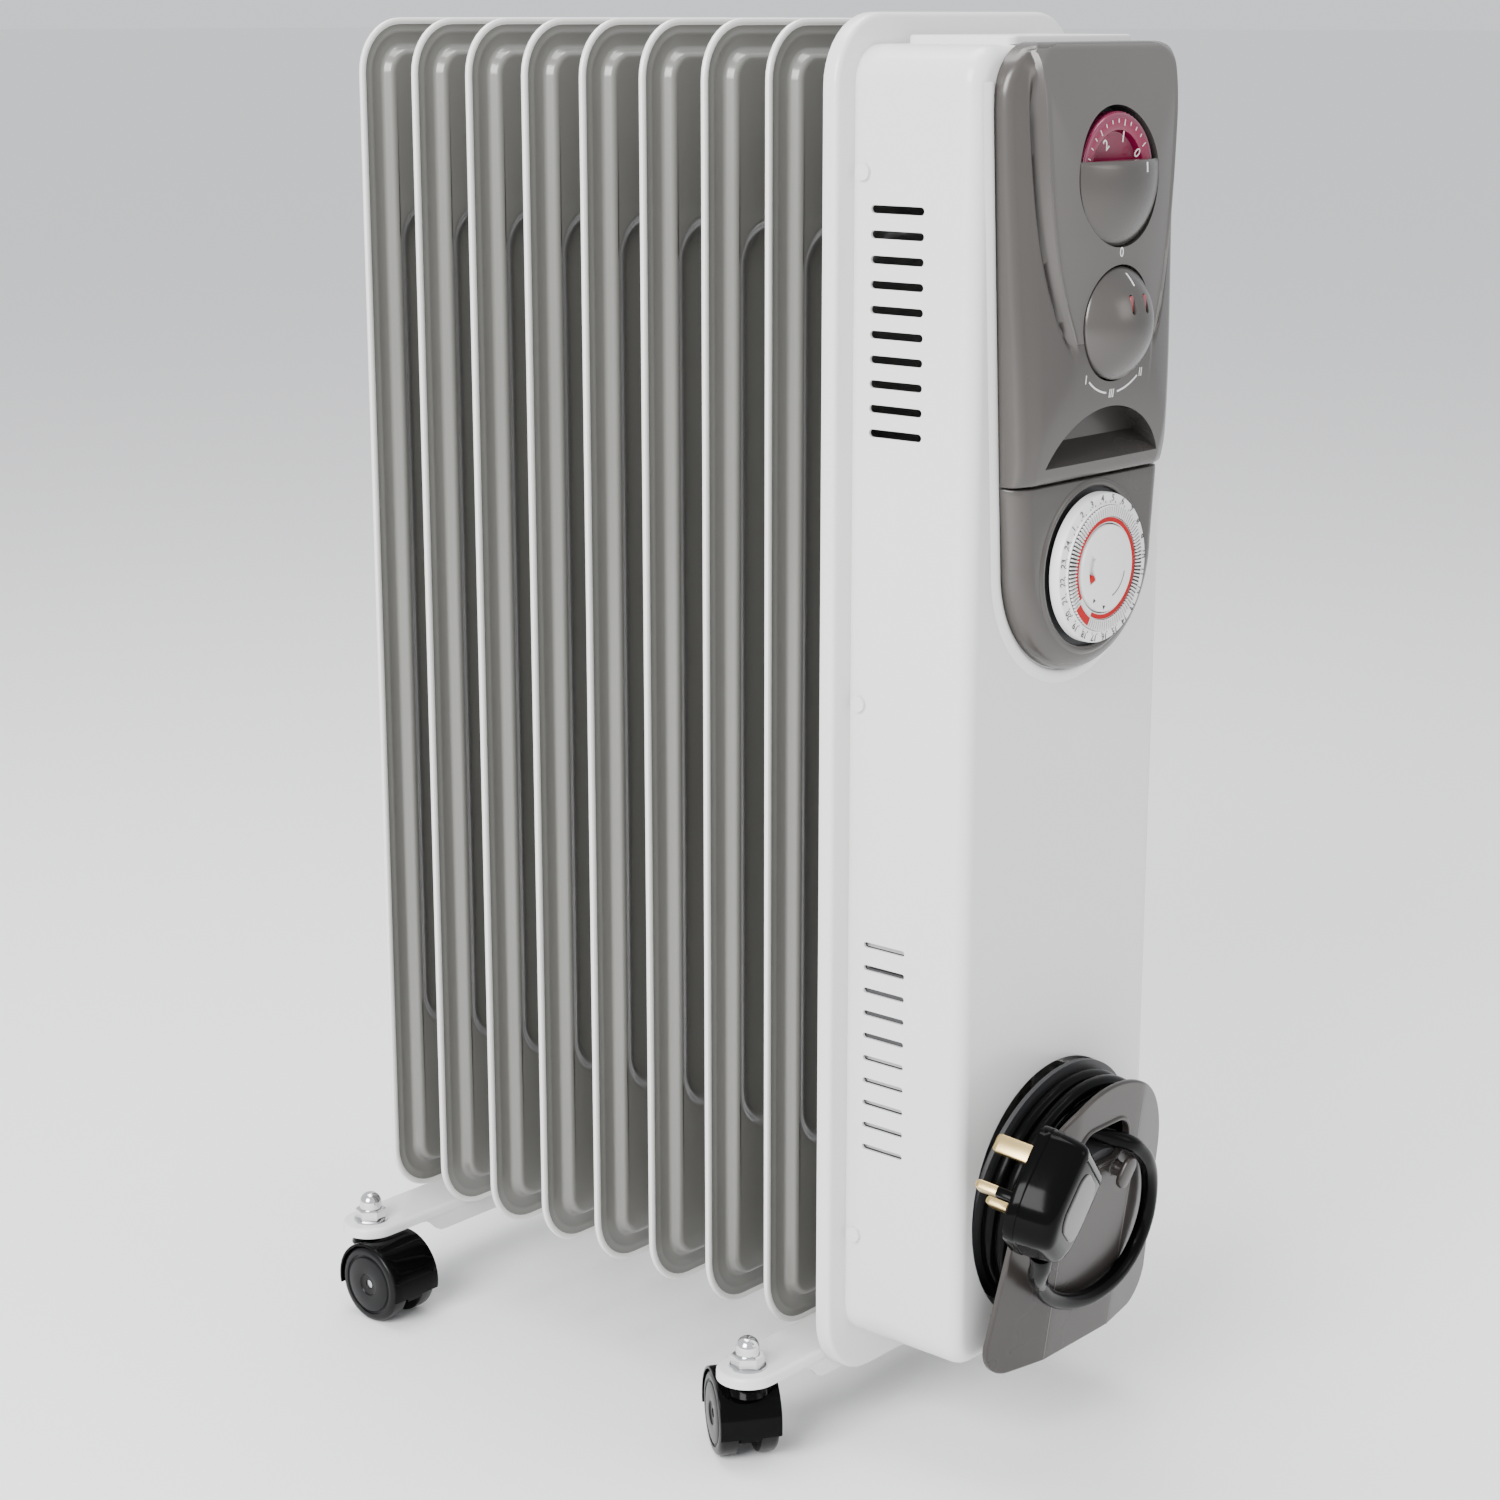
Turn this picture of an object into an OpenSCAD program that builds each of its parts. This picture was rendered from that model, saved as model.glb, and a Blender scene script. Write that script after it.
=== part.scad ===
// Oil filled radiator heater on twin-wheel casters.
// +X is to the right of someone who faces the controls, -Y is toward that person, +Z is up.
// The origin is on the floor, under the middle of the heater without its cord.

/* [Fins] */
// Width of a fin
fin_w = 160; // [150:1:170]
// Height of a fin
fin_h = 580; // [560:5:600]
// Distance from one fin to the next
fin_pitch = 35.4; // [34:0.1:37]
// Corner radius of a fin
fin_r = 25; // [20:1:30]
// Sheet steel thickness of a fin
fin_sheet = 0.8; // [0.7:0.1:1.0]
// Height of the lowest edge of the fins over the floor
fin_base = 43; // [42:1:46]

/* [Housing] */
// Width of the control housing
box_w = 142; // [138:1:144]
// Depth of the control housing
box_d = 61; // [58:1:66]
// Sheet steel thickness of the housing
box_sheet = 1.2; // [0.8:0.1:1.5]

/* [Control panel] */
// Half width of the panel at its widest
panel_w = 60; // [58:0.5:62]
// Wall thickness of the moulded panel
panel_wall = 2.2; // [2:0.1:3]

/* [Casters] */
// Radius of a caster wheel
wheel_r = 19; // [18:0.5:19.5]
// Trail of a caster
trail = 12; // [10:0.5:13]
// Distance of a caster stem from the middle plane
stem_x = 112; // [108:1:116]

/* [Cord] */
// Diameter of the mains cord
cord_d = 7.5; // [7:0.1:8]

/* [Hidden] */
$fn = 64;
fin_count = 9;
chamber_t = 12;          // outer thickness of a fin's oil chamber
chamber_inset = 14;      // from the rim of a fin to its chamber
chamber_r = 15;
web_half = 60;           // half width of the sunk middle of a fin
web_low = 86;            // sunk middle, lowest and highest, over the foot of the fin
web_high = 495;
web_depth = 4;           // how far each side of the middle is sunk
web_r = 18;
rim_t = 2.6;             // rolled hem
rim_w = 2.4;
collar_r = 20;
collar_bore = 17.5;
collar_low = 45;         // collar centres over the foot of the fin
collar_high = 535;
knob_front = 98;         // how far the selector stands in front of the first fin
front_reach = 100.2;     // and the cord clip, the foremost piece of all

rear = (fin_count - 1) * fin_pitch + chamber_t / 2;
y_mid = (rear - front_reach) / 2;

// End frame round the first fin
frame_w = 165.4;
frame_low = -10.7;
frame_high = 582.5;
frame_sheet = 1.2;
frame_face = -4;
frame_lip = 3.4;

// Housing, over the foot of the fins
box_back = -4;
box_front = box_back - box_d;
box_low = 9.5;
box_high = 570;
box_r = 12;
slot_count = 10;
slot_y = [-39.9, -12.7];
slot_z = [414.8, 505.4];
slot_h = 3.4;
louvre_y = [-34.8, -12.7];
louvre_z = [102.4, 194.6];
louvre_h = 2.6;

// Panels
panel_high = 571;
seam_high = 395.6;
seam_low = 394.6;
seam_half = 52.4;
panel_corner = 21;
lower_half = 49.6;
lower_z = 362;
panel_front = -76;
belly = 11;              // how far the middle of the upper panel bulges
belly_z = 483;
belly_r = (panel_w * panel_w + belly * belly) / (2 * belly);
belly_rz = 392;

// Controls, [x, z]
dial_at = [0, 518];
dial_r = 25.4;
dial_hole_r = 28.3;
select_at = [0, 459];
select_r = 23;
select_hole_r = 23.8;
timer_at = [0, 357];
timer_r = 31.7;
timer_hole_r = 34;
shaft_r = 3;
run = 0.05;              // radial play of a shaft in its bore
scoop_r = 51;
scoop_z = 375;
scoop_low = 398;

// Cord store: the plate leans out from its foot
lean = 7.9;
plate_foot_y = -74.5;
plate_foot_z = 17;
plate_t = 2.5;
plate_half = 61;
plate_mid = 24.5;
plate_proud = 6.5;
coil_z = 75;
coil_r = 55;
coil_bore = 32.4;
coil_t = 15.2;
coil_gap = 0.3;
hole_at = [-3, 88];      // x, and distance up the plate
coil_up = (coil_z - plate_foot_z) / cos(lean);

// Foot bars
bar_y = [fin_pitch / 2, 7.5 * fin_pitch];
bar_half = 126;
bar_r = 14;
bar_top = 3;
bar_sheet = 1.5;

// Casters, over the floor
axle_z = wheel_r;
axle_r = 2;
hood_in = wheel_r + 0.5;
hood_out = wheel_r + 1.9;
wheel_in = 5;
wheel_out = 14;
boss_r = 4.7;
stem_r = 3;
boss_top = fin_base + bar_top - bar_sheet - 0.4;
front_turn = 36;         // swivel of the front casters, out of line
// [x sign, y, turn] of each caster
CASTERS = [[-1, bar_y[0], 180 - front_turn], [1, bar_y[0], 180 + front_turn],
           [-1, bar_y[1], 0], [1, bar_y[1], 0]];

// Plug: centre of its base, over the foot of the fins
plug_at = [-65.5, -99.5, 104.2];
plug_roll = 41;
plug_yaw = 16;
plug_t = 22;
plug_half = 23;
plug_up = 24;
plug_down = 26;

// Free cord, from the coil through the plate, round over the clip and into the plug: [x, up the plate, out of it]
LOOP = [[-21, 88, -10], [-12, 90.5, -9.5], [-4, 91, -4.5], [3, 89.5, 3], [9.5, 87, 8.8], [13.5, 85, 10.5], [18, 82, 10.9], [26, 75, 11],
        [34, 65, 9.6], [39, 53, 8.6], [39.5, 41, 8.6], [35, 30, 9.2], [26.5, 21.5, 10], [15, 16.5, 10.8],
        [0, 14.5, 10.9], [-14, 16.5, 10.9], [-28, 22, 10.9], [-40, 30, 11.8], [-50, 40, 14], [-57.5, 48, 17.5],
        [-62, 56, 21], [-65, 61, 22.5]];
// From the gland into the coil
LEAD_IN = [[26, -55.5, 17.9], [16, -56.4, 17.6], [4, -59.4, 17.6], [-8, -61.6, 19.6]];

// ---- helpers ----

// Rectangle with round corners, centred on x, from z = low to high
module round_rect(w, low, high, r) {
    union() {
        translate([-w / 2 + r, low]) square([w - 2 * r, high - low]);
        translate([-w / 2, low + r]) square([w, high - low - 2 * r]);
        for (x = [-w / 2 + r, w / 2 - r])
            for (z = [low + r, high - r])
                translate([x, z]) circle(r = r);
    }
}

// Slot shape centred on the origin, lying along x
module stadium(half, r) {
    union() {
        square([2 * (half - r), 2 * r], center = true);
        for (x = [-half + r, half - r])
            translate([x, 0]) circle(r = r);
    }
}

// Extrudes an outline drawn in x and z from the plane y_back forward to y_front
module forward(y_back, y_front) {
    translate([0, y_back, 0]) rotate([90, 0, 0]) linear_extrude(y_back - y_front) children();
}

// Cylinder along y
module rod_y(at, r, y_back, y_front) {
    translate([at[0], y_back, at[1]]) rotate([90, 0, 0]) cylinder(r = r, h = y_back - y_front);
}

// From the frame of the first fin's foot to the frame of the part
module place() {
    translate([0, -y_mid, fin_base]) children();
}

// Frame of the cord plate: x, distance up the plate, distance out of its face
module on_plate() {
    translate([0, plate_foot_y, plate_foot_z]) rotate([90 + lean, 0, 0]) children();
}

// Spherical cap whose rim lies in the plane y = 0 and whose top is toward -y
module cap_y(r, h) {
    big = (r * r + h * h) / (2 * h);
    intersection() {
        translate([0, big - h, 0]) sphere(r = big, $fn = 96);
        rotate([90, 0, 0]) cylinder(r = r, h = h + 1);
    }
}

// ---- swept cord ----

function unit(v) = v / norm(v);
function spline(p, i, t) =
    let (a = p[max(i - 1, 0)], b = p[i], c = p[i + 1], d = p[min(i + 2, len(p) - 1)])
    0.5 * ((2 * b) + (c - a) * t + (2 * a - 5 * b + 4 * c - d) * t * t + (3 * b - a - 3 * c + d) * t * t * t);
function route(p, steps) =
    [for (i = [0 : len(p) - 2]) for (k = [0 : steps - 1]) spline(p, i, k / steps), p[len(p) - 1]];
function tangent(p, i) = unit(p[min(i + 1, len(p) - 1)] - p[max(i - 1, 0)]);

module tube(points, d, sides = 10) {
    n = len(points);
    verts = [for (i = [0 : n - 1])
        let (t = tangent(points, i), u = unit(cross(t, [0.1, 1, 0.05])), v = cross(t, u))
        for (k = [0 : sides - 1]) points[i] + d / 2 * (cos(360 * k / sides) * u + sin(360 * k / sides) * v)];
    walls = [for (i = [0 : n - 2]) for (k = [0 : sides - 1])
        let (a = i * sides + k, b = i * sides + (k + 1) % sides)
        each [[a, b, b + sides], [a, b + sides, a + sides]]];
    foot = [[for (k = [sides - 1 : -1 : 0]) k]];
    top = [[for (k = [0 : sides - 1]) (n - 1) * sides + k]];
    polyhedron(points = verts, faces = concat(walls, foot, top));
}

// ---- radiator ----

module fin_outline(inset = 0) {
    round_rect(fin_w - 2 * inset, inset, fin_h - inset, fin_r - inset);
}

module fin(index) {
    y = (fin_count - index) * fin_pitch;
    half = chamber_t / 2;
    inner = half - fin_sheet;
    color("gainsboro") place() translate([0, y, 0]) difference() {
        union() {
            forward(fin_sheet, -fin_sheet) fin_outline();
            difference() {
                forward(rim_t / 2, -rim_t / 2) fin_outline();
                forward(rim_t, -rim_t) fin_outline(rim_w);
            }
            difference() {
                forward(half, -half)
                    round_rect(fin_w - 2 * chamber_inset, chamber_inset, fin_h - chamber_inset, chamber_r);
                for (side = [-1, 1])
                    forward(side * half + web_depth, side * half - web_depth)
                        round_rect(2 * web_half, web_low, web_high, web_r);
            }
        }
        // oil space round the sunk middle
        difference() {
            forward(inner, -inner)
                round_rect(fin_w - 2 * chamber_inset - 2 * fin_sheet, chamber_inset + fin_sheet,
                           fin_h - chamber_inset - fin_sheet, chamber_r - fin_sheet);
            forward(half, -half) round_rect(2 * web_half + 2 * fin_sheet, web_low - fin_sheet,
                                            web_high + fin_sheet, web_r + fin_sheet);
        }
        // ways through to the collars: none at the back of the last fin
        for (z = [collar_low, collar_high])
            rod_y([0, z], collar_bore, index == 1 ? 0 : half + 1, index == fin_count && z == collar_high ? 0 : -half - 1);
    }
}

module collars(z) {
    color("silver") place() for (i = [0 : fin_count - 2])
        difference() {
            rod_y([0, z], collar_r, (i + 1) * fin_pitch - chamber_t / 2, i * fin_pitch + chamber_t / 2);
            rod_y([0, z], collar_bore, (i + 1) * fin_pitch, i * fin_pitch);
        }
}

module heating_element() {
    far = 7 * fin_pitch;
    color("dimgray") place() {
        for (x = [-7, 7])
            rod_y([x, collar_low], 4, far, -chamber_t / 2);
        translate([0, far, collar_low]) rotate_extrude(angle = 180) translate([7, 0]) circle(r = 4);
    }
}

module element_flange() {
    color("gray") place() difference() {
        union() {
            rod_y([0, collar_low], 24, -chamber_t / 2, -chamber_t / 2 - 4);
            rod_y([0, collar_low], 15, -chamber_t / 2 - 4, -chamber_t / 2 - 9);
            for (x = [-7, 7])
                rod_y([x, collar_low], 2, -chamber_t / 2 - 9, -chamber_t / 2 - 20);
        }
    }
}

module end_frame() {
    half = frame_w / 2;
    color("whitesmoke") place() difference() {
        forward(frame_lip, frame_face) round_rect(frame_w, frame_low, frame_high, fin_r + 4);
        forward(frame_lip + 1, frame_face + frame_sheet)
            round_rect(frame_w - 2 * frame_sheet, frame_low + frame_sheet, frame_high - frame_sheet,
                       fin_r + 4 - frame_sheet);
        forward(0, frame_face - 1) round_rect(136, 12, 568, 13);
    }
}

// ---- housing ----

module housing_front_cut() {
    // behind the panels, and behind the cord store
    translate([-48, 375]) square([96, 180]);
    intersection() {
        translate([0, lower_z + 4]) circle(r = 44);
        translate([-44, 300]) square([88, 100]);
    }
    intersection() {
        translate([0, coil_z]) circle(r = coil_r + 5);
        translate([-70, box_low + 4]) square([140, 200]);
    }
}

module control_housing() {
    color("white") place() difference() {
        forward(box_back, box_front) round_rect(box_w, box_low, box_high, box_r);
        forward(box_back + 1, box_front + box_sheet)
            round_rect(box_w - 2 * box_sheet, box_low + box_sheet, box_high - box_sheet, box_r - box_sheet);
        forward(box_front + 3, box_front - 1) housing_front_cut();
        for (i = [0 : slot_count - 1]) {
            z = slot_z[0] + i * (slot_z[1] - slot_z[0]) / (slot_count - 1);
            zl = louvre_z[0] + i * (louvre_z[1] - louvre_z[0]) / (slot_count - 1);
            for (side = [-1, 1]) {
                translate([side * box_w / 2, (slot_y[0] + slot_y[1]) / 2, z])
                    cube([6, slot_y[1] - slot_y[0], slot_h], center = true);
                translate([side * box_w / 2, (louvre_y[0] + louvre_y[1]) / 2, zl])
                    cube([6, louvre_y[1] - louvre_y[0], louvre_h], center = true);
            }
        }
        for (z = [60, 300, 520])
            for (side = [-1, 1])
                translate([side * (box_w / 2 + 1), box_back - 5, z]) rotate([0, 90, 0])
                    cylinder(r = 1.7, h = 6, center = true);
    }
}

module housing_screws() {
    color("silver") place() for (z = [60, 300, 520])
        for (side = [-1, 1])
            translate([side * box_w / 2, box_back - 5, z]) rotate([0, side * 90, 0]) union() {
                cylinder(r = 3.4, h = 1.8);
                translate([0, 0, -4]) cylinder(r = 1.7, h = 4);
            }
}

module top_plate() {
    color("silver") place() translate([0, (box_back + box_front) / 2 + 1, box_high])
        difference() {
            linear_extrude(3.5) square([86, 54], center = true);
            for (i = [-5 : 5])
                translate([i * 7.4, 0, 3.2]) cube([2.4, 46, 1], center = true);
        }
}

// ---- panels ----

module upper_outline(inset = 0) {
    low = seam_high + inset;
    high = panel_high - inset;
    side = panel_w - inset;
    foot = seam_half - inset;
    r = panel_corner - inset;
    union() {
        polygon([[-foot, low], [foot, low], [side, high - 40], [side, high - r], [-side, high - r], [-side, high - 40]]);
        translate([-side + r, high - r - 1]) square([2 * (side - r), r + 1]);
        for (x = [-side + r, side - r])
            translate([x, high - r]) circle(r = r);
    }
}

module lower_outline(inset = 0) {
    half = lower_half - inset;
    union() {
        polygon([[-seam_half + inset, seam_low - inset], [seam_half - inset, seam_low - inset],
                 [half, lower_z], [-half, lower_z]]);
        intersection() {
            translate([0, lower_z]) circle(r = half, $fn = 96);
            translate([-half, lower_z - half - 1]) square([2 * half, half + 1]);
        }
    }
}

// Solid of the upper panel: its front bulges both ways
module upper_block(inset) {
    intersection() {
        forward(box_front, panel_front - belly - 1) upper_outline(inset);
        translate([0, panel_front - belly + belly_r + inset, 300]) cylinder(r = belly_r, h = 300, $fn = 180);
        translate([-80, panel_front - belly + belly_rz + inset, belly_z]) rotate([0, 90, 0])
            cylinder(r = belly_rz, h = 160, $fn = 360);
    }
}

module scoop_shape(grow) {
    intersection() {
        translate([0, scoop_z]) circle(r = scoop_r + grow, $fn = 96);
        translate([-60, scoop_low - grow]) square([120, 60]);
    }
}

module control_panel() {
    color("darkgray") place() difference() {
        union() {
            difference() {
                upper_block(0);
                translate([0, 1, 0]) upper_block(panel_wall);
            }
            intersection() {
                upper_block(0);
                forward(box_front, panel_front - belly - 1) scoop_shape(0);
            }
            // skirts that hold the dial and the knob
            difference() {
                intersection() {
                    upper_block(0);
                    union() {
                        rod_y(dial_at, dial_hole_r + 2, box_front - 6, panel_front - belly);
                        rod_y(select_at, select_hole_r + 2, box_front - 6, panel_front - belly);
                    }
                }
                rod_y(dial_at, dial_hole_r, box_front, panel_front - belly - 1);
                rod_y(select_at, select_hole_r, box_front, panel_front - belly - 1);
            }
        }
        rod_y(dial_at, dial_hole_r, box_front + 1, panel_front - belly - 1);
        rod_y(select_at, select_hole_r, box_front + 1, panel_front - belly - 1);
        forward(box_front - 1.5, panel_front - belly - 1) scoop_shape(-2);
    }
}

module timer_panel() {
    color("darkgray") place() difference() {
        forward(box_front, panel_front) lower_outline(0);
        forward(box_front + 1, panel_front + panel_wall) lower_outline(panel_wall);
        rod_y(timer_at, timer_hole_r, box_front + 1, panel_front - 1);
    }
}

// ---- thermostat ----

module thermostat_dial() {
    color("mediumvioletred") place() union() {
        rod_y(dial_at, dial_r, -76, -83.6);
        rod_y(dial_at, shaft_r, -54, -76);
    }
}

module thermostat_cover() {
    color("darkgray") place() translate([dial_at[0], -84, dial_at[1]]) difference() {
        intersection() {
            cap_y(dial_hole_r, 8);
            translate([-30, -10, -30]) cube([60, 10, 36.4]);
        }
        translate([0, 0.01, 0]) cap_y(25.8, 6);
    }
}

module thermostat_switch() {
    color("dimgray") place() difference() {
        union() {
            translate([-17, -68, dial_at[1] - 17]) cube([34, 24, 34]);
            translate([-51, box_front + box_sheet, dial_at[1] - 9]) cube([102, 1.5, 18]);
        }
        rod_y(dial_at, shaft_r + run, -50, -69);
    }
}

// ---- selector ----

module selector_knob() {
    color("gray") place() difference() {
        union() {
            translate([select_at[0], -86, select_at[1]]) cap_y(select_r, knob_front - 86);
            rod_y(select_at, select_r, -79, -86);
            rod_y(select_at, shaft_r, -54, -79);
        }
        for (x = [-5, 5])
            translate([select_at[0] + x - 1.4, -100, select_at[1] + 4]) cube([2.8, 8, 11]);
    }
}

module indicator_lenses() {
    color("lightpink") place() intersection() {
        translate([select_at[0], -86, select_at[1]]) cap_y(select_r - 0.5, knob_front - 86.7);
        for (x = [-5, 5])
            translate([select_at[0] + x - 1.4, -98, select_at[1] + 4]) cube([2.8, 6, 11]);
    }
}

module selector_switch() {
    color("dimgray") place() difference() {
        union() {
            translate([-16, -70, select_at[1] - 18]) cube([32, 26, 36]);
            translate([-51, box_front + box_sheet, select_at[1] - 9]) cube([102, 1.5, 18]);
        }
        rod_y(select_at, shaft_r + run, -50, -71);
    }
}

// ---- timer ----

module timer_ring() {
    color("white") place() difference() {
        union() {
            rod_y(timer_at, timer_r, -76.5, -81.5);
            rod_y(timer_at, timer_r - 1.5, -81.5, -83);
        }
        rod_y(timer_at, 18.9, -76, -84);
    }
}

module timer_tappets() {
    teeth = 96;
    color("lightgray") place() union() {
        difference() {
            rod_y(timer_at, 26.6, -83, -83.4);
            rod_y(timer_at, 20.4, -82, -84);
        }
        translate([timer_at[0], 0, timer_at[1]]) for (i = [0 : teeth - 1])
            rotate([0, i * 360 / teeth, 0]) translate([-0.45, -84, 21.8]) cube([0.9, 0.8, 4.6]);
    }
}

module timer_centre() {
    color("white") place() difference() {
        union() {
            rod_y(timer_at, 18.5, -76.5, -84.2);
            rod_y(timer_at, 12, -74, -76.5);
        }
        // curved slot of the override
        translate([timer_at[0], -82, timer_at[1]]) rotate([90, 0, 0]) intersection() {
            difference() {
                cylinder(r = 13.4, h = 4);
                translate([0, 0, -1]) cylinder(r = 9.2, h = 6);
            }
            translate([-16, -9, -1]) cube([14, 16, 6]);
        }
    }
}

module timer_override() {
    color("red") place() translate([timer_at[0], -82.3, timer_at[1]]) rotate([90, 0, 0])
        rotate([0, 0, 196]) translate([11.3, 0, 0]) cylinder(r = 1.7, h = 2.2);
}

module timer_body() {
    color("dimgray") place() union() {
        rod_y(timer_at, 35.2, -68, panel_front + panel_wall);
        rod_y(timer_at, 16, -73, -74);
        translate([-25, -68, timer_at[1] - 25]) cube([50, 24, 50]);
    }
}

// ---- inside the housing ----

module tip_switch() {
    color("black") place() translate([box_sheet - box_w / 2, -34, 150]) cube([22, 20, 34]);
}

module thermal_cutout() {
    color("ivory") place() union() {
        rod_y([0, 250], 9, -chamber_t / 2 + web_depth, -12);
        translate([-5, -18, 246]) cube([10, 6, 8]);
    }
}

module terminal_block() {
    color("ivory") place() translate([box_w / 2 - box_sheet - 40, -36, 210]) cube([40, 18, 16]);
}

// ---- cord store ----

// Outline of the plate, in x and the distance up the plate
module plate_outline() {
    foot = -12;
    r = 16;
    union() {
        translate([-plate_half + r, foot]) square([2 * (plate_half - r), 40]);
        polygon([[-plate_half, foot + r], [plate_half, foot + r], [53.5, 66], [-53.5, 66]]);
        for (x = [-plate_half + r, plate_half - r])
            translate([x, foot + r]) circle(r = r);
        intersection() {
            translate([0, 62]) circle(r = 53.9, $fn = 96);
            translate([-60, 62]) square([120, 60]);
        }
    }
}

module cord_plate() {
    wing = plate_half - plate_mid;
    slope = atan(plate_proud / wing);
    bottom = -14;
    top = 120;
    color("gray") place() on_plate() difference() {
        intersection() {
            linear_extrude(30, center = true) plate_outline();
            // folded sheet: a raised middle and two wings that slope back
            rotate([-90, 0, 0]) translate([0, 0, bottom]) linear_extrude(top - bottom)
                polygon([[-plate_half - 1, 0.2], [-plate_mid, -plate_proud], [plate_mid, -plate_proud],
                         [plate_half + 1, 0.2], [plate_half + 1, 0.2 + plate_t],
                         [plate_mid, -plate_proud + plate_t], [-plate_mid, -plate_proud + plate_t],
                         [-plate_half - 1, 0.2 + plate_t]]);
        }
        translate([hole_at[0], hole_at[1], 0]) linear_extrude(30, center = true) stadium(18, 9);
        for (x = [-38, 38])
            translate([x, -4, 0]) cylinder(r = 2.2, h = 30, center = true);
    }
}

module cord_spool() {
    color("dimgray") place() union() {
        on_plate() translate([0, coil_up, 0]) {
            // drum that carries the coil, and the dish behind it
            translate([0, 0, -plate_t - coil_t - 1]) cylinder(r = 25, h = coil_t + 0.9 + plate_proud);
            translate([0, 0, -plate_t - coil_t - 3]) cylinder(r = coil_r + 2.6, h = 2);
        }
        // foot block between the housing and the plate
        intersection() {
            translate([-44, -79, 11]) cube([88, 14, 8.5]);
            on_plate() translate([0, 0, -plate_t - 20]) linear_extrude(20) translate([-50, -20]) square([100, 60]);
        }
    }
}

module cord_clip() {
    color("gray") place() on_plate() union() {
        translate([9, 73.5, plate_proud]) cylinder(r = 3.4, h = 6);
        translate([9, 73.5, plate_proud + 5]) rotate([0, 0, 60]) linear_extrude(3) stadium(7.4, 4.6);
    }
}

module cord_gland() {
    color("black") place() translate([26, -55.5, 17.9]) rotate([0, 90, 0]) difference() {
        union() {
            cylinder(r1 = 5, r2 = 6.2, h = 22);
            translate([0, 0, 22]) cylinder(r = 7.2, h = 4);
        }
        translate([0, 0, -1]) cylinder(r = cord_d / 2, h = 30);
    }
}

module cord_lead() {
    color("black") place() {
        on_plate() tube(route(LOOP, 3), cord_d);
        tube(route(LEAD_IN, 2), cord_d);
    }
}

module cord_coil() {
    color("black") place() on_plate() translate([0, coil_up, -plate_t - coil_gap - coil_t]) difference() {
        cylinder(r = coil_r, h = coil_t);
        translate([0, 0, -1]) cylinder(r = coil_bore, h = coil_t + 2);
    }
}

// ---- plug ----

// Frame of the plug: x across, z toward its earth pin, -y out of its face
module on_plug() {
    place() translate(plug_at) rotate([0, plug_roll, 0]) rotate([0, 0, plug_yaw]) children();
}

module plug_outline(inset) {
    r = 7;
    translate([0, 0]) round_rect(2 * (plug_half - inset), -plug_down + inset, plug_up - inset, r);
}

module plug_body() {
    color("black") on_plug() union() {
        forward(0, -6) plug_outline(0);
        forward(-6, -14) plug_outline(2);
        forward(-14, -plug_t) plug_outline(4.5);
    }
}

module plug_pins() {
    color("gold") on_plug() union() {
        translate([-2, 0, 13.2 - 4]) cube([4, 22.7, 8]);
        for (x = [-11.1, 11.1])
            translate([x - 3.2, 0, -9 - 2]) cube([6.4, 19, 4]);
    }
}

module plug_label() {
    color("gray") on_plug() forward(-plug_t, -plug_t - 0.8)
        round_rect(26, -15, 14, 8);
}

// ---- feet ----

module foot_bar(y) {
    color("white") place() translate([0, y, 0]) union() {
        // top sheet with its holes
        difference() {
            translate([0, 0, bar_top - bar_sheet]) linear_extrude(bar_sheet) stadium(bar_half, bar_r);
            for (x = [-stem_x, stem_x])
                translate([x, 0, -10]) cylinder(r = stem_r + 0.1, h = 20);
            for (x = [-collar_r - 2.6, collar_r + 2.6])
                translate([x, 0, -10]) cylinder(r = 2.7, h = 20);
        }
        // turned down rim
        difference() {
            translate([0, 0, bar_top - 5]) linear_extrude(5 - bar_sheet) stadium(bar_half, bar_r);
            translate([0, 0, bar_top - 6]) linear_extrude(8) stadium(bar_half - bar_sheet, bar_r - bar_sheet);
        }
        // deeper side walls of the middle
        for (side = [-1, 1])
            translate([0, side * (bar_r - bar_sheet / 2) + bar_sheet / 2, 0]) rotate([90, 0, 0])
                linear_extrude(bar_sheet)
                    polygon([[-90, bar_top - 5], [-78, -10], [78, -10], [90, bar_top - 5]]);
    }
}

module u_bolts() {
    rod = 2.4;
    reach = collar_r + 2.6;
    color("silver") place() for (y = bar_y) translate([0, y, collar_low]) union() {
        rotate([90, 0, 0]) rotate_extrude(angle = 180) translate([reach, 0]) circle(r = rod);
        for (x = [-reach, reach])
            translate([x, 0, -collar_low - 9]) cylinder(r = rod, h = collar_low + 9);
    }
}

module wing_nuts() {
    reach = collar_r + 2.6;
    color("silver") place() for (y = bar_y) for (x = [-reach, reach])
        translate([x, y, bar_top - bar_sheet - 6]) difference() {
            union() {
                cylinder(r = 4.6, h = 6);
                translate([-9, -1, 0]) cube([18, 2, 5]);
            }
            translate([0, 0, -1]) cylinder(r = 2.4, h = 8);
        }
}

module caster_stems() {
    color("silver") for (c = CASTERS)
        translate([c[0] * stem_x, c[1] - y_mid, 0]) translate([0, 0, 26]) cylinder(r = stem_r, h = 28);
}

module acorn_nuts() {
    color("silver") for (c = CASTERS)
        translate([c[0] * stem_x, c[1] - y_mid, fin_base + bar_top]) difference() {
            union() {
                cylinder(r = 8.4, h = 1);
                translate([0, 0, 1]) cylinder(r = 7.5, h = 5, $fn = 6);
                translate([0, 0, 6]) cylinder(r = 5.4, h = 3);
                translate([0, 0, 9]) intersection() {
                    sphere(r = 5.4);
                    cylinder(r = 6, h = 6);
                }
            }
            translate([0, 0, -1]) cylinder(r = stem_r, h = 54 - fin_base - bar_top + 1);
        }
}

// ---- casters ----

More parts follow.
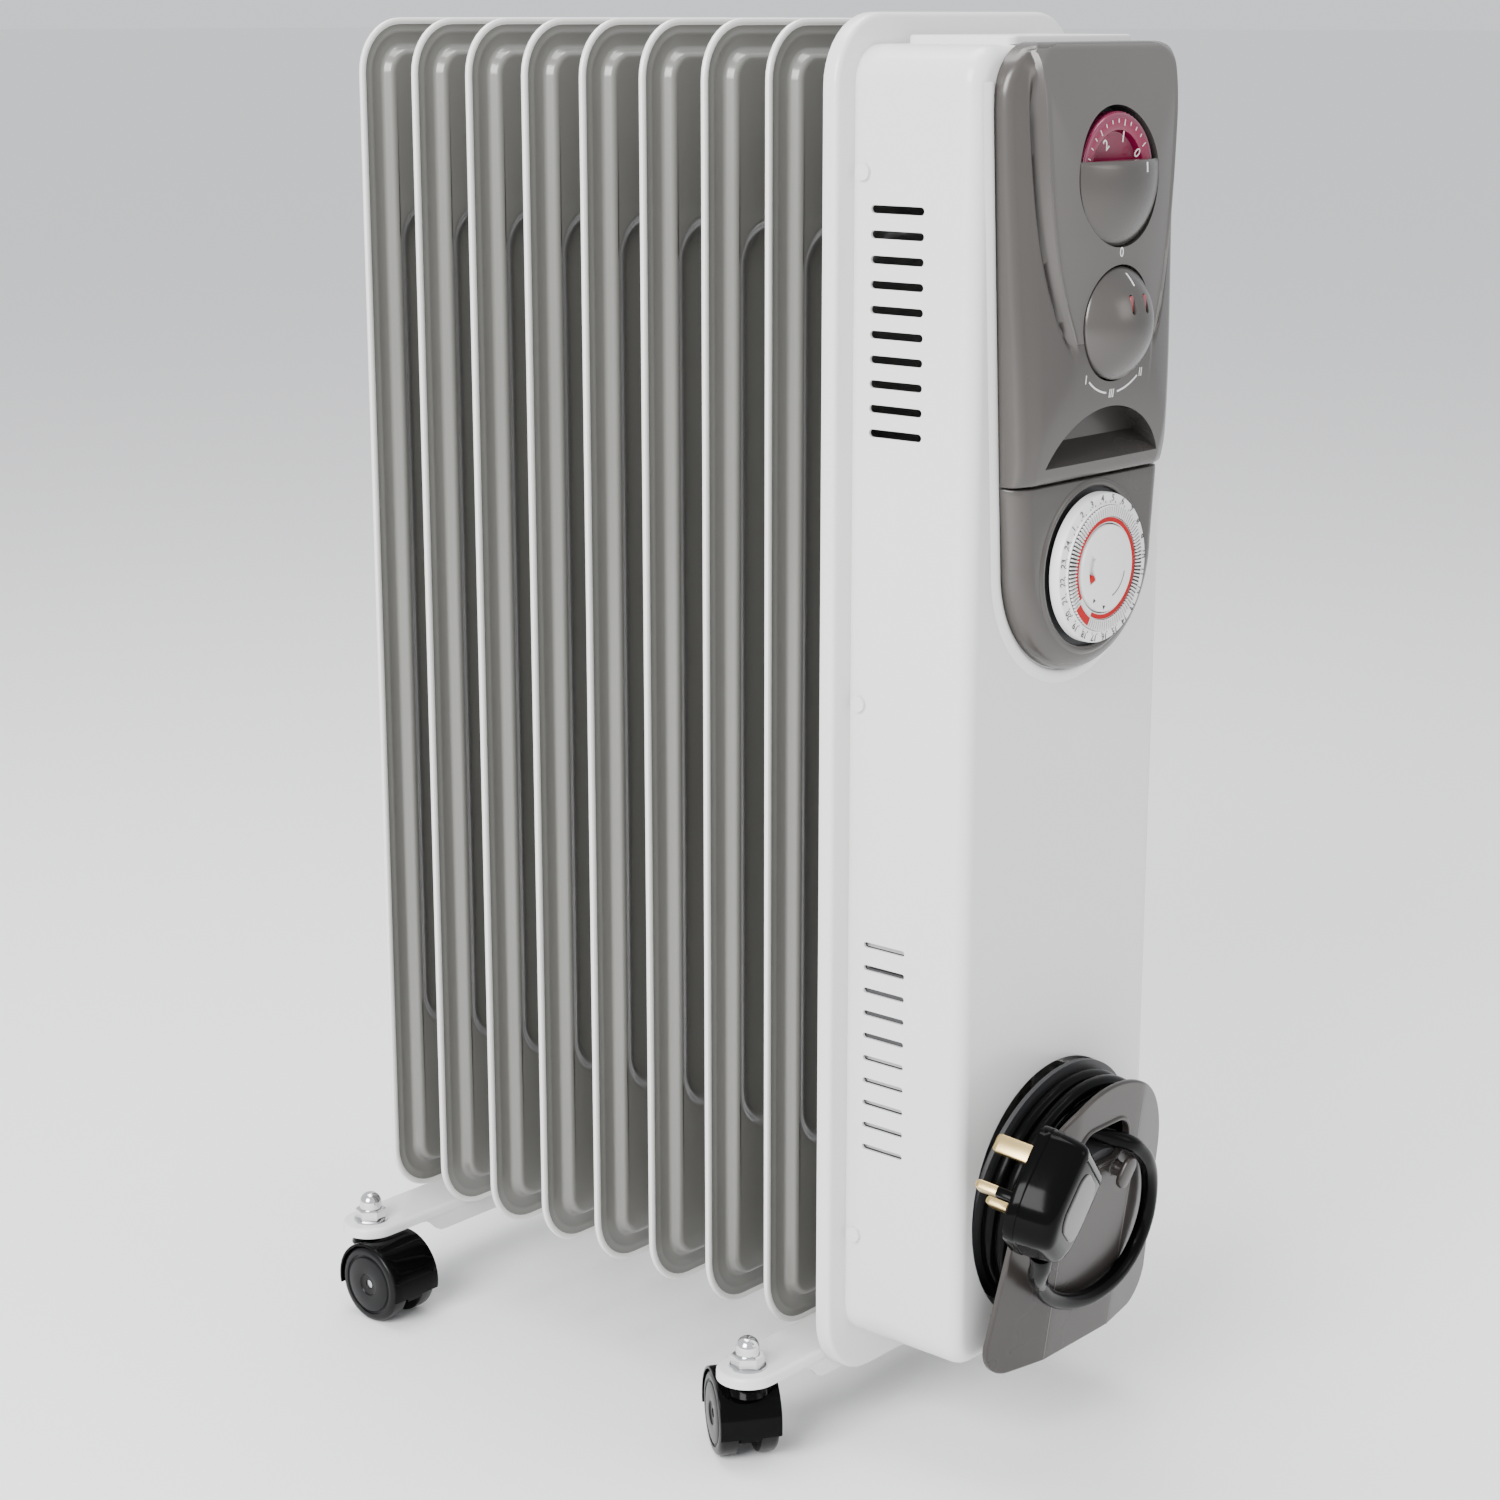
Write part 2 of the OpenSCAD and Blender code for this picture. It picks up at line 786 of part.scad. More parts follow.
// Frame of a caster: stem on the z axis, axle along x, trail toward +y
module on_caster(index) {
    c = CASTERS[index - 1];
    translate([c[0] * stem_x, c[1] - y_mid, 0]) rotate([0, 0, c[2] + 180]) children();
}

// Turns an outline drawn in y and z into a slab of the given half width along x
module slab_x(half) {
    translate([-half, 0, 0]) rotate([90, 0, 90]) linear_extrude(2 * half) children();
}

module caster_hood(index) {
    color("black") on_caster(index) difference() {
        union() {
            // web between the wheels
            slab_x(boss_r) union() {
                translate([trail, axle_z]) circle(r = 14);
                translate([trail, axle_z]) intersection() {
                    circle(r = hood_in + 0.5);
                    translate([-30, 2]) square([60, 30]);
                }
                translate([0, 24]) square([trail, 13]);
            }
            // arched cover over both wheels
            slab_x(wheel_out) translate([trail, axle_z]) difference() {
                circle(r = hood_out);
                circle(r = hood_in);
                translate([-30, -34]) square([60, 30]);
            }
            // boss for the stem
            translate([0, 0, 24]) cylinder(r = boss_r, h = boss_top - 24);
        }
        translate([0, 0, 25.6]) cylinder(r = stem_r + run, h = 40);
        translate([-8, trail, axle_z]) rotate([0, 90, 0]) cylinder(r = axle_r, h = 16);
    }
}

module caster_axle(index) {
    color("silver") on_caster(index) translate([-wheel_out + 1.5, trail, axle_z]) rotate([0, 90, 0])
        cylinder(r = axle_r, h = 2 * wheel_out - 3);
}

module caster_wheels(index) {
    color("black") on_caster(index) for (side = [0, 180])
        translate([0, trail, axle_z]) rotate([0, 0, side]) rotate([0, 90, 0]) difference() {
            union() {
                translate([0, 0, wheel_in]) cylinder(r = wheel_r, h = wheel_out - wheel_in - 1);
                translate([0, 0, wheel_out - 1]) cylinder(r = wheel_r - 1.4, h = 1);
            }
            translate([0, 0, wheel_in - 1]) cylinder(r = axle_r + run, h = 20);
        }
}

fin(1);  // fin_1
fin(2);  // fin_2
fin(3);  // fin_3
fin(4);  // fin_4
fin(5);  // fin_5
fin(6);  // fin_6
fin(7);  // fin_7
fin(8);  // fin_8
fin(9);  // fin_9
collars(collar_high);  // collars_upper
collars(collar_low);  // collars_lower
heating_element();
element_flange();
end_frame();
control_housing();
control_panel();
timer_panel();
top_plate();
thermostat_dial();
thermostat_cover();
thermostat_switch();
selector_knob();
indicator_lenses();
selector_switch();
timer_ring();
timer_tappets();
timer_centre();
timer_override();
timer_body();
tip_switch();
thermal_cutout();
terminal_block();
cord_plate();
cord_spool();
cord_clip();
cord_gland();
cord_lead();
cord_coil();
plug_body();
plug_pins();
plug_label();
foot_bar(bar_y[0]);  // foot_bar_front
foot_bar(bar_y[1]);  // foot_bar_rear
u_bolts();
wing_nuts();
acorn_nuts();
caster_stems();
housing_screws();
caster_hood(1);  // caster_1_hood
caster_hood(2);  // caster_2_hood
caster_hood(3);  // caster_3_hood
caster_hood(4);  // caster_4_hood
caster_axle(1);  // caster_1_axle
caster_axle(2);  // caster_2_axle
caster_axle(3);  // caster_3_axle
caster_axle(4);  // caster_4_axle
caster_wheels(1);  // caster_1_wheels
caster_wheels(2);  // caster_2_wheels
caster_wheels(3);  // caster_3_wheels
caster_wheels(4);  // caster_4_wheels
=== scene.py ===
import math

import bmesh
import bpy
from mathutils import Matrix, Vector

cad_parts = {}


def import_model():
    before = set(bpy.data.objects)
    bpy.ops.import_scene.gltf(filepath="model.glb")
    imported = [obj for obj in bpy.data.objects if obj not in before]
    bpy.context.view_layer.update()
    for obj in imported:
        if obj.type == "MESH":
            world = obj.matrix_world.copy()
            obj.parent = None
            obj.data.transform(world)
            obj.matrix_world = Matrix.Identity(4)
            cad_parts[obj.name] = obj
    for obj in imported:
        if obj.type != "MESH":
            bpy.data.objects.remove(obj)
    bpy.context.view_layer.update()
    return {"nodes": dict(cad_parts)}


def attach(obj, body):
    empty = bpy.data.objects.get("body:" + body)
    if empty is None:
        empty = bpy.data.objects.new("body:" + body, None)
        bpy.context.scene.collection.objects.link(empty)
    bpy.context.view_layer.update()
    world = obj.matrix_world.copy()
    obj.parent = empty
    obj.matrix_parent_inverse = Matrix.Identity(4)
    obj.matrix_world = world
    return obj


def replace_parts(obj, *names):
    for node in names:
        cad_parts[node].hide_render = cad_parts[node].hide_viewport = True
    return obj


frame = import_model()

# Everything below is written in millimetres, with y = 0 in the middle of the first fin and
# z = 0 at the foot of the fins, and moved into the row frame by P().
Y_MID, BASE = 94.5, 43.0
PITCH = 35.4


def P(x, y, z):
    return Vector((x / 1000, (y - Y_MID) / 1000, (z + BASE) / 1000))


def sm(t):
    t = max(0.0, min(1.0, t))
    return t * t * (3 - 2 * t)


# ---------------------------------------------------------------- materials

def principled(name, color, rough=0.45, metal=0.0, coat=0.0, spec=0.5):
    m = bpy.data.materials.new(name)
    m.use_nodes = True
    b = m.node_tree.nodes["Principled BSDF"]
    b.inputs["Base Color"].default_value = (*color, 1)
    b.inputs["Roughness"].default_value = rough
    b.inputs["Metallic"].default_value = metal
    b.inputs["Coat Weight"].default_value = coat
    b.inputs["Coat Roughness"].default_value = 0.12
    b.inputs["Specular IOR Level"].default_value = spec
    return m


def grain(m, scale, strength, distance=0.0002, detail=3.0):
    """A fine noise bump: the orange peel of enamel, or the spark texture of a moulding."""
    t = m.node_tree
    b = t.nodes["Principled BSDF"]
    co = t.nodes.new("ShaderNodeTexCoord")
    n = t.nodes.new("ShaderNodeTexNoise")
    n.inputs["Scale"].default_value = scale
    n.inputs["Detail"].default_value = detail
    bump = t.nodes.new("ShaderNodeBump")
    bump.inputs["Strength"].default_value = strength
    bump.inputs["Distance"].default_value = distance
    t.links.new(co.outputs["Object"], n.inputs["Vector"])
    t.links.new(n.outputs["Fac"], bump.inputs["Height"])
    t.links.new(bump.outputs["Normal"], b.inputs["Normal"])
    return m


def mottle(m, a, c, scale, r_lo=None, r_hi=None):
    """Colour, and if asked roughness, that wander a little over the surface."""
    t = m.node_tree
    b = t.nodes["Principled BSDF"]
    co = t.nodes.new("ShaderNodeTexCoord")
    n = t.nodes.new("ShaderNodeTexNoise")
    n.inputs["Scale"].default_value = scale
    n.inputs["Detail"].default_value = 4.0
    r = t.nodes.new("ShaderNodeValToRGB")
    r.color_ramp.elements[0].position, r.color_ramp.elements[1].position = 0.3, 0.7
    r.color_ramp.elements[0].color, r.color_ramp.elements[1].color = (*a, 1), (*c, 1)
    t.links.new(co.outputs["Object"], n.inputs["Vector"])
    t.links.new(n.outputs["Fac"], r.inputs["Fac"])
    t.links.new(r.outputs["Color"], b.inputs["Base Color"])
    if r_lo is not None:
        g = t.nodes.new("ShaderNodeMapRange")
        g.inputs["To Min"].default_value, g.inputs["To Max"].default_value = r_lo, r_hi
        t.links.new(n.outputs["Fac"], g.inputs["Value"])
        t.links.new(g.outputs["Result"], b.inputs["Roughness"])
    return m


M = {}
M["fin"] = grain(mottle(principled("fin_enamel", (0.165, 0.163, 0.150), 0.25, coat=0.5), (0.158, 0.156, 0.144),
                        (0.176, 0.174, 0.161), 5, 0.27, 0.34), 900, 0.07)
# fin_hem is the fin enamel made lighter: a painted highlight along the rolled hem
M["hem"] = grain(principled("fin_hem", (0.78, 0.775, 0.755), 0.30, coat=0.3), 900, 0.05)
M["white"] = grain(mottle(principled("housing_enamel", (0.74, 0.74, 0.73), 0.32, coat=0.3), (0.73, 0.73, 0.72),
                          (0.76, 0.76, 0.75), 5, 0.28, 0.36), 900, 0.08)
M["panel"] = grain(mottle(principled("panel_plastic", (0.080, 0.074, 0.070), 0.26, metal=0.35),
                          (0.076, 0.070, 0.066), (0.086, 0.080, 0.075), 8, 0.23, 0.30), 2600, 0.08, 0.0001)
# panel_face_painted_light is a lighter copy of the panel plastic: painted light on the front-facing middle
# field, and a painted highlight along the cord plate folds
M["panel_painted_light"] = grain(mottle(principled("panel_face_painted_light", (0.125, 0.117, 0.111), 0.28, metal=0.35),
                                (0.119, 0.112, 0.106), (0.132, 0.124, 0.118), 8, 0.25, 0.32), 2600, 0.08, 0.0001)
M["plate"] = grain(mottle(principled("cord_plate_plastic", (0.036, 0.031, 0.029), 0.27, metal=0.2),
                          (0.034, 0.029, 0.027), (0.040, 0.035, 0.032), 8, 0.24, 0.32), 2600, 0.08, 0.0001)
# dark_plastic_and_well_shade is used for the dark shafts and switches, and it also lines the wells round the
# knobs as painted shade in the gaps
M["dark"] = grain(principled("dark_plastic_and_well_shade", (0.035, 0.035, 0.037), 0.5), 2600, 0.12, 0.0001)
M["black"] = grain(principled("black_gloss", (0.0015, 0.0015, 0.0016), 0.12, spec=0.08), 1800, 0.05, 0.0001)
M["tyre"] = grain(principled("wheel_black", (0.003, 0.003, 0.0033), 0.28, spec=0.2), 1800, 0.10, 0.0001)
M["cord"] = grain(principled("cord_pvc", (0.0015, 0.0015, 0.0016), 0.22, spec=0.08), 1500, 0.06, 0.0001)
M["magenta"] = principled("dial_magenta", (0.22, 0.004, 0.045), 0.25, coat=0.2)
# dial_rim is a darker copy of the dial magenta: painted shade on the ribbed rim and its edge band
M["magenta_painted_shade"] = principled("dial_rim", (0.17, 0.012, 0.05), 0.28, coat=0.5)
M["lens"] = principled("lens_red", (0.20, 0.045, 0.05), 0.2, coat=0.5)
M["dial_white"] = grain(principled("dial_white", (0.80, 0.80, 0.79), 0.35, coat=0.2), 2000, 0.05, 0.0001)
M["tappet"] = principled("tappet_white", (0.74, 0.74, 0.735), 0.4)
M["red"] = principled("print_red", (0.42, 0.001, 0.003), 0.4, spec=0.2)
# print_black_and_gap_shade also serves as the painted shade band under the timer tappets
M["ink"] = principled("print_black_and_gap_shade", (0.02, 0.02, 0.02), 0.5)
M["ink_white"] = principled("print_white", (0.78, 0.78, 0.77), 0.5)
M["ivory"] = principled("ivory_moulding", (0.68, 0.62, 0.50), 0.5)
M["zinc"] = grain(principled("zinc_plate", (0.58, 0.59, 0.60), 0.30, metal=1.0), 1200, 0.08, 0.0001)
M["chrome"] = principled("nickel_plate", (0.74, 0.74, 0.75), 0.14, metal=1.0)
M["brass"] = mottle(principled("pin_brass", (0.70, 0.50, 0.20), 0.24, metal=1.0), (0.68, 0.49, 0.20),
                    (0.74, 0.55, 0.25), 60, 0.20, 0.30)
M["label"] = principled("label_grey", (0.075, 0.068, 0.068), 0.2, spec=0.4)


# ---------------------------------------------------------------- mesh helpers

def obj(name, verts, faces, mat, body="heater", sharp=35, raw=False):
    me = bpy.data.meshes.new(name)
    me.from_pydata([v if raw else P(*v) for v in verts], [], faces)
    me.validate()
    o = bpy.data.objects.new(name, me)
    bpy.context.scene.collection.objects.link(o)
    bm = bmesh.new()
    bm.from_mesh(me)
    bmesh.ops.remove_doubles(bm, verts=bm.verts, dist=1e-6)
    bmesh.ops.recalc_face_normals(bm, faces=bm.faces)
    bm.to_mesh(me)
    bm.free()
    if mat:
        me.materials.append(M[mat])
    smooth(me, sharp)
    if body:
        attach(o, body)
    return o


def smooth(me, sharp=35):
    me.polygons.foreach_set("use_smooth", [True] * len(me.polygons))
    me.set_sharp_from_angle(angle=math.radians(sharp))


def loft(name, rings, mat, cap0=True, cap1=True, loop=False, **kw):
    """Skins rings that all have the same number of points."""
    n = len(rings[0])
    verts = [p for r in rings for p in r]
    faces = []
    last = len(rings) if loop else len(rings) - 1
    for i in range(last):
        j = (i + 1) % len(rings)
        for k in range(n):
            k2 = (k + 1) % n
            faces.append((i * n + k, i * n + k2, j * n + k2, j * n + k))
    if not loop:
        if cap0:
            faces.append(tuple(range(n - 1, -1, -1)))
        if cap1:
            faces.append(tuple((len(rings) - 1) * n + k for k in range(n)))
    return obj(name, verts, faces, mat, **kw)


def rrect(hw, lo, hi, r, seg=10):
    """Rounded rectangle in x and z, centred on x."""
    out = []
    corners = ((hw - r, hi - r, 0), (-hw + r, hi - r, 90), (-hw + r, lo + r, 180), (hw - r, lo + r, 270))
    for cx, cz, a0 in corners:
        for k in range(seg + 1):
            a = math.radians(a0 + 90 * k / seg)
            out.append((cx + r * math.cos(a), cz + r * math.sin(a)))
    return out


def inset_rrect(hw, lo, hi, r, i, seg=10):
    return rrect(hw - i, lo + i, hi - i, max(r - i, 0.3), seg)


def at_y(pts, y):
    return [(x, y, z) for x, z in pts]


def stadium(half, r, seg=20):
    out = []
    for cx, a0 in ((half - r, -90), (-half + r, 90)):
        for k in range(seg + 1):
            a = math.radians(a0 + 180 * k / seg)
            out.append((cx + r * math.cos(a), r * math.sin(a)))
    return out


def lathe(name, prof, mat, at=(0, 0, 0), axis="y", seg=96, cap=True, **kw):
    """Turns (radius, distance) about an axis through at. Distance along -y for "y", +z for "z", +x for "x"."""
    rings = []
    for r, h in prof:
        ring = []
        for k in range(seg):
            a = 2 * math.pi * k / seg
            c, s = max(r, 0.001) * math.cos(a), max(r, 0.001) * math.sin(a)
            if axis == "y":
                ring.append((at[0] + c, h, at[2] + s))
            elif axis == "z":
                ring.append((at[0] + c, at[1] + s, h))
            else:
                ring.append((h, at[1] + c, at[2] + s))
        rings.append(ring)
    return loft(name, rings, mat, cap, cap, **kw)


def move(o, m):
    o.data.transform(m)
    o.data.update()
    return o


def join(objs, name):
    bpy.ops.object.select_all(action="DESELECT")
    for o in objs:
        o.select_set(True)
    bpy.context.view_layer.objects.active = objs[0]
    bpy.ops.object.join()
    objs[0].name = name
    return objs[0]


def cut(o, cutters, sharp=35):
    """Exact boolean difference, applied; the cutters are removed."""
    c = join(cutters, "cutter") if len(cutters) > 1 else cutters[0]
    m = o.modifiers.new("cut", "BOOLEAN")
    m.operation, m.solver, m.object = "DIFFERENCE", "EXACT", c
    dg = bpy.context.evaluated_depsgraph_get()
    me = bpy.data.meshes.new_from_object(o.evaluated_get(dg))
    o.modifiers.clear()
    old = o.data
    o.data = me
    bpy.data.meshes.remove(old)
    bpy.data.objects.remove(c)
    smooth(o.data, sharp)
    return o


def prism(pts, y0, y1, name="prism", mat=None):
    """Outline in x and z extruded along y: a cutter, so it rides on nothing."""
    return loft(name, [at_y(pts, y0), at_y(pts, y1)], mat, body=None)


def circle(cx, cz, r, seg=96):
    angles = [2 * math.pi * k / seg for k in range(seg)]
    return [(cx + r * math.cos(a), cz + r * math.sin(a)) for a in angles]


def text(name, s, size, place, mat, body, depth=0.12, spacing=1.0):
    """Raised print. place(u, v, w) takes the flat letter's x, y and height to a point in millimetres."""
    c = bpy.data.curves.new(name, "FONT")
    c.body, c.size, c.align_x, c.align_y, c.space_character = s, size, "CENTER", "CENTER", spacing
    c.extrude, c.resolution_u = depth / 2, 4
    t = bpy.data.objects.new(name, c)
    bpy.context.scene.collection.objects.link(t)
    dg = bpy.context.evaluated_depsgraph_get()
    me = bpy.data.meshes.new_from_object(t.evaluated_get(dg))
    bpy.data.objects.remove(t)
    for v in me.vertices:
        v.co = P(*place(v.co.x, v.co.y, v.co.z))
    me.materials.clear()
    me.materials.append(M[mat])
    o = bpy.data.objects.new(name, me)
    bpy.context.scene.collection.objects.link(o)
    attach(o, body)
    return o


def ribbon(name, pts, width, normal, mat, body, lift=0.12):
    """A printed line: a thin strip along pts, raised a little along the normal."""
    verts, faces = [], []
    n = Vector(normal).normalized()
    for i, p in enumerate(pts):
        a, b = Vector(pts[max(i - 1, 0)]), Vector(pts[min(i + 1, len(pts) - 1)])
        s = (b - a).normalized().cross(n).normalized() * width / 2
        q = Vector(p)
        verts += [tuple(q - s), tuple(q + s), tuple(q + s + n * lift), tuple(q - s + n * lift)]
    for i in range(len(pts) - 1):
        for k in range(4):
            faces.append((4 * i + k, 4 * i + (k + 1) % 4, 4 * i + 4 + (k + 1) % 4, 4 * i + 4 + k))
    faces += [(3, 2, 1, 0), tuple(4 * (len(pts) - 1) + k for k in range(4))]
    return obj(name, verts, faces, mat, body=body)


def grid_faces(rows, n, start=0):
    """Faces of a sheet of rows, each with n + 1 points."""
    w = n + 1
    return [(start + i * w + k, start + i * w + k + 1, start + i * w + k + w + 1, start + i * w + k + w)
            for i in range(rows - 1) for k in range(n)]


def grid_rim(rows, n):
    """The points round the edge of such a sheet."""
    w = n + 1
    return list(range(w)) + [i * w + n for i in range(1, rows)] + \
        [(rows - 1) * w + k for k in range(n - 1, -1, -1)] + [i * w for i in range(rows - 2, 0, -1)]


def backed(verts, faces, rim, y):
    """Closes a sheet with walls from its rim to a flat back at y."""
    base, n = len(verts), len(rim)
    verts += [(verts[i][0], y, verts[i][2]) for i in rim]
    faces += [(rim[j], rim[(j + 1) % n], base + (j + 1) % n, base + j) for j in range(n)]
    faces.append(tuple(base + j for j in range(n - 1, -1, -1)))


# ---------------------------------------------------------------- fins

FIN = (80, 0, 580, 25)      # half width, foot, head and corner radius
HEM = [(0, 0.0), (0.35, 0.95), (1.1, 1.3), (2.1, 1.25), (2.9, 0.85), (3.3, 0.8), (5.6, 0.8), (6.4, 1.05),
       (7.2, 0.8), (11.6, 0.8), (12.6, 1.05), (13.5, 2.0), (14.2, 4.4), (15.0, 5.5), (16.2, 5.95), (17.2, 6.0)]
SUNK = [(0, 6.0), (1.0, 5.96), (2.4, 5.4), (3.8, 4.0), (5.2, 2.7), (6.6, 2.15), (8.2, 2.0), (9.2, 2.0)]


def fin_mesh(name, y0):
    """Rolled hem, weld seam and chamber from the rim inward, then the sunk middle."""
    side = [(inset_rrect(*FIN, i), y) for i, y in HEM]
    side += [(rrect(63.4 - i, 82.6 + i, 498.4 - i, 21.4 - i), y) for i, y in SUNK]
    front = [at_y(p, y0 - y) for p, y in side]
    back = [at_y(p, y0 + y) for p, y in side[1:]]
    o = loft(name, front[::-1] + back, "fin")
    # faces of the rolled hem get the lighter colour, a painted highlight on the same enamel as the fin
    o.data.materials.append(M["hem"])
    for q in o.data.polygons:
        x, z = abs(q.center.x) * 1000, q.center.z * 1000 - BASE
        ax, az = max(0.0, x - 55), max(0.0, abs(z - 290) - 265)
        if x > 77.2 or abs(z - 290) > 287.2 or (ax > 0 and az > 0 and math.hypot(ax, az) > 22.2):
            q.material_index = 1
    return o


for i in range(1, 10):
    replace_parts(fin_mesh("fin_panel_%d" % i, (9 - i) * PITCH), "fin_%d" % i)

# ---------------------------------------------------------------- end frame

HW, LO, HI, RR = 82.7, -10.7, 582.5, 29
steps = [(1.2, 3.0), (0.95, 3.35), (0.6, 3.4), (0.2, 3.2), (0, 2.7), (0, -1.8), (0.25, -2.9), (0.9, -3.65),
         (1.9, -3.97), (2.6, -4.0), (9.5, -4.0), (10.5, -4.0)]
ef = [at_y(inset_rrect(HW, LO, HI, RR, i), y) for i, y in steps]
ef += [at_y(rrect(68.3, 11.7, 568.3, 13.3), -4.0)]
ef += [at_y(rrect(68, 12, 568, 13), y) for y in (-3.8, -2.8)]
ef += [at_y(inset_rrect(HW, LO, HI, RR, i), y) for i, y in ((3.0, -2.8), (1.6, -2.6), (1.25, -2.0))]
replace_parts(loft("end_frame_sheet", ef, "white", loop=True), "end_frame")

# ---------------------------------------------------------------- housing

BW, BLO, BHI, BR = 71, 9.5, 570, 12
hs = [(0, -4.0), (0, -5.0), (0, -57.4), (0, -58.0)]
for k in range(1, 9):
    a = math.radians(90 * k / 8)
    hs.append((7 * (1 - math.cos(a)), -58 - 7 * math.sin(a)))
hs += [(7.6, -65), (12, -65), (13, -65)]
outer = [at_y(inset_rrect(BW, BLO, BHI, BR + 3, i, 12), y) for i, y in hs]
inner = [at_y(inset_rrect(BW, BLO, BHI, BR + 3, i + 1.2, 12), y + (1.2 if y < -57 else 0)) for i, y in hs[::-1]]
verts = [p for r in outer + inner for p in r]
n = len(outer[0])
faces = []
ro, ri = len(outer), len(inner)
for i in range(ro + ri - 1):
    if i == ro - 1:
        continue
    for k in range(n):
        k2 = (k + 1) % n
        faces.append((i * n + k, i * n + k2, (i + 1) * n + k2, (i + 1) * n + k))
faces.append(tuple((ro - 1) * n + k for k in range(n)))
faces.append(tuple(ro * n + k for k in range(n - 1, -1, -1)))
for k in range(n):
    k2 = (k + 1) % n
    faces.append((k, k2, (ro + ri - 1) * n + k2, (ro + ri - 1) * n + k))
housing = obj("housing_shell", verts, faces, "white")

cutters = []


def slot_cutter(y0, y1, z, h):
    """A slot with round ends through one side wall, lying along y."""
    r = h / 2
    pts = []
    for cy, a0 in ((y1 - r, -90), (y0 + r, 90)):
        for k in range(9):
            a = math.radians(a0 + 180 * k / 8)
            pts.append((cy + r * math.cos(a), z + r * math.sin(a)))
    return pts


for j in range(10):
    for (y0, y1, z, h) in ((-39.9, -12.7, 414.8 + j * 10.0667, 3.3), (-34.8, -12.7, 102.4 + j * 10.244, 2.4)):
        pts = slot_cutter(y0, y1, z, h)
        for side in (-1, 1):
            rings = [[(side * x0, y, zz) for y, zz in pts] for x0 in (66, 74)]
            cutters.append(loft("c", rings, None, body=None))
cutters.append(prism([(-47, 352), (47, 352), (47, 556), (-47, 556)], -70, -60))
cutters.append(prism(circle(0, 75, 60), -70, -60))
cut(housing, cutters, 30)
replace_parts(housing, "control_housing")
# pressed blades behind the lower slots
blades = []
BLADE = ((-36, 2.6), (-11.5, 2.6), (-11.5, -1.6), (-36, -1.6))
for j in range(10):
    z = 102.4 + j * 10.244
    for side in (-1, 1):
        blades.append(loft("b", [[(side * x0, y, z + dz) for y, dz in BLADE] for x0 in (66.9, 67.6)], "white",
                           body=None))
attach(join(blades, "louvre_blades"), "heater")


# ---------------------------------------------------------------- upper panel

def panel_half(z):
    if z <= 545:
        t = (z - 395.6) / (545 - 395.6)
        return 52.4 + (60 - 52.4) * t
    if z <= 550:
        return 60.0
    return 39 + math.sqrt(max(0.0, 21 ** 2 - (z - 550) ** 2))


FACE = -76 - 11                                     # foremost line of the bulge
R1, R2 = (60 ** 2 + 11 ** 2) / 22.0, 392.0          # its radius across, and its radius along z


def front_y(x, z):
    """The bulging face of the upper panel, before its crease and its rounded edges."""
    a = (FACE + R1) - math.sqrt(R1 ** 2 - x * x)
    b = (FACE + R2) - math.sqrt(R2 ** 2 - (z - 483) ** 2)
    k = a - b
    return b + (k + math.sqrt(k * k + 1.2)) / 2


def crease_x(z):
    """Half width of the middle field between the two blade edges; its front faces are painted lighter, as
    painted light.
    """
    t = max(0.0, min(1.0, (571 - z) / (571 - 450.0)))
    return 47.5 - 21.0 * (0.5 * t ** 1.5 + 0.5 * t ** 5)


def panel_y(x, z):
    y = front_y(x, z)
    e = crease_x(z) - abs(x)
    fade = sm((z - 447) / 14.0) * sm((562 - z) / 22.0)
    # the middle stands proud, with a blade along its edge and a hollow just outside it
    y += 2.6 * sm((z - 420) / 110.0) * (1 - sm(e / 1.3 + 0.9))
    y += 3.2 * fade * math.exp(-((e + 2.5) / 1.5) ** 2)
    y -= 1.0 * fade * math.exp(-((e - 0.4) / 0.9) ** 2)
    # side flanks: a soft hollow and a rolled shoulder
    d = panel_half(z) - abs(x)
    y += 2.2 * sm((10 - d) / 10.0) * (1 if d < 10 else 0)
    # edge rounding
    de = min(d, 571 - z)
    if de < 3:
        y += 3 - math.sqrt(max(0.0, 9 - (3 - de) ** 2))
    return min(y, -66.5)


zs = [395.6, 395.75, 396.1, 397] + [397 + (549 - 397) * k / 96 for k in range(1, 97)]
zs += [550 + 21 * math.sin(math.radians(90 * k / 26)) for k in range(0, 27)]
zs[-1] = 570.97
NU = 150
verts = []
for z in zs:
    w = panel_half(z)
    for k in range(NU + 1):
        s = -1 + 2 * k / NU
        xc = min(crease_x(z), w - 3)
        u = abs(s)
        x = xc * u / 0.56 if u <= 0.56 else xc + (w - xc) * (1 - (1 - (u - 0.56) / 0.44) ** 1.3)
        x = math.copysign(x, s)
        y = panel_y(x, z)
        if z < 398:
            y += 1.2 - 1.2 * math.sqrt(max(0.0, 1 - ((398 - z) / 2.4) ** 2))
        verts.append((x, y, z))
faces = grid_faces(len(zs), NU)
backed(verts, faces, grid_rim(len(zs), NU), -65.0)
upper = obj("panel_upper", verts, faces, "panel", sharp=50)
upper.data.materials.append(M["panel_painted_light"])

# arc of the hand recess
scoop = []
for k in range(49):
    a = math.radians(26.3 + (180 - 52.6) * k / 48)
    scoop.append((49 * math.cos(a), 375 + 49 * math.sin(a)))
recess = loft("c", [[(x * 1.03, -92, z + (z - 396) * 0.05) for x, z in scoop], [(x, -86, z) for x, z in scoop],
                    [(x * 0.80 + 5, -67, 410.5 + (z - 397) * 0.66) for x, z in scoop]], None, body=None)
wells = [prism(circle(0, z, r, 128), -100, -67.5) for z, r in ((518, 28.3), (459, 23.8))]
cut(upper, wells + [recess], 32)
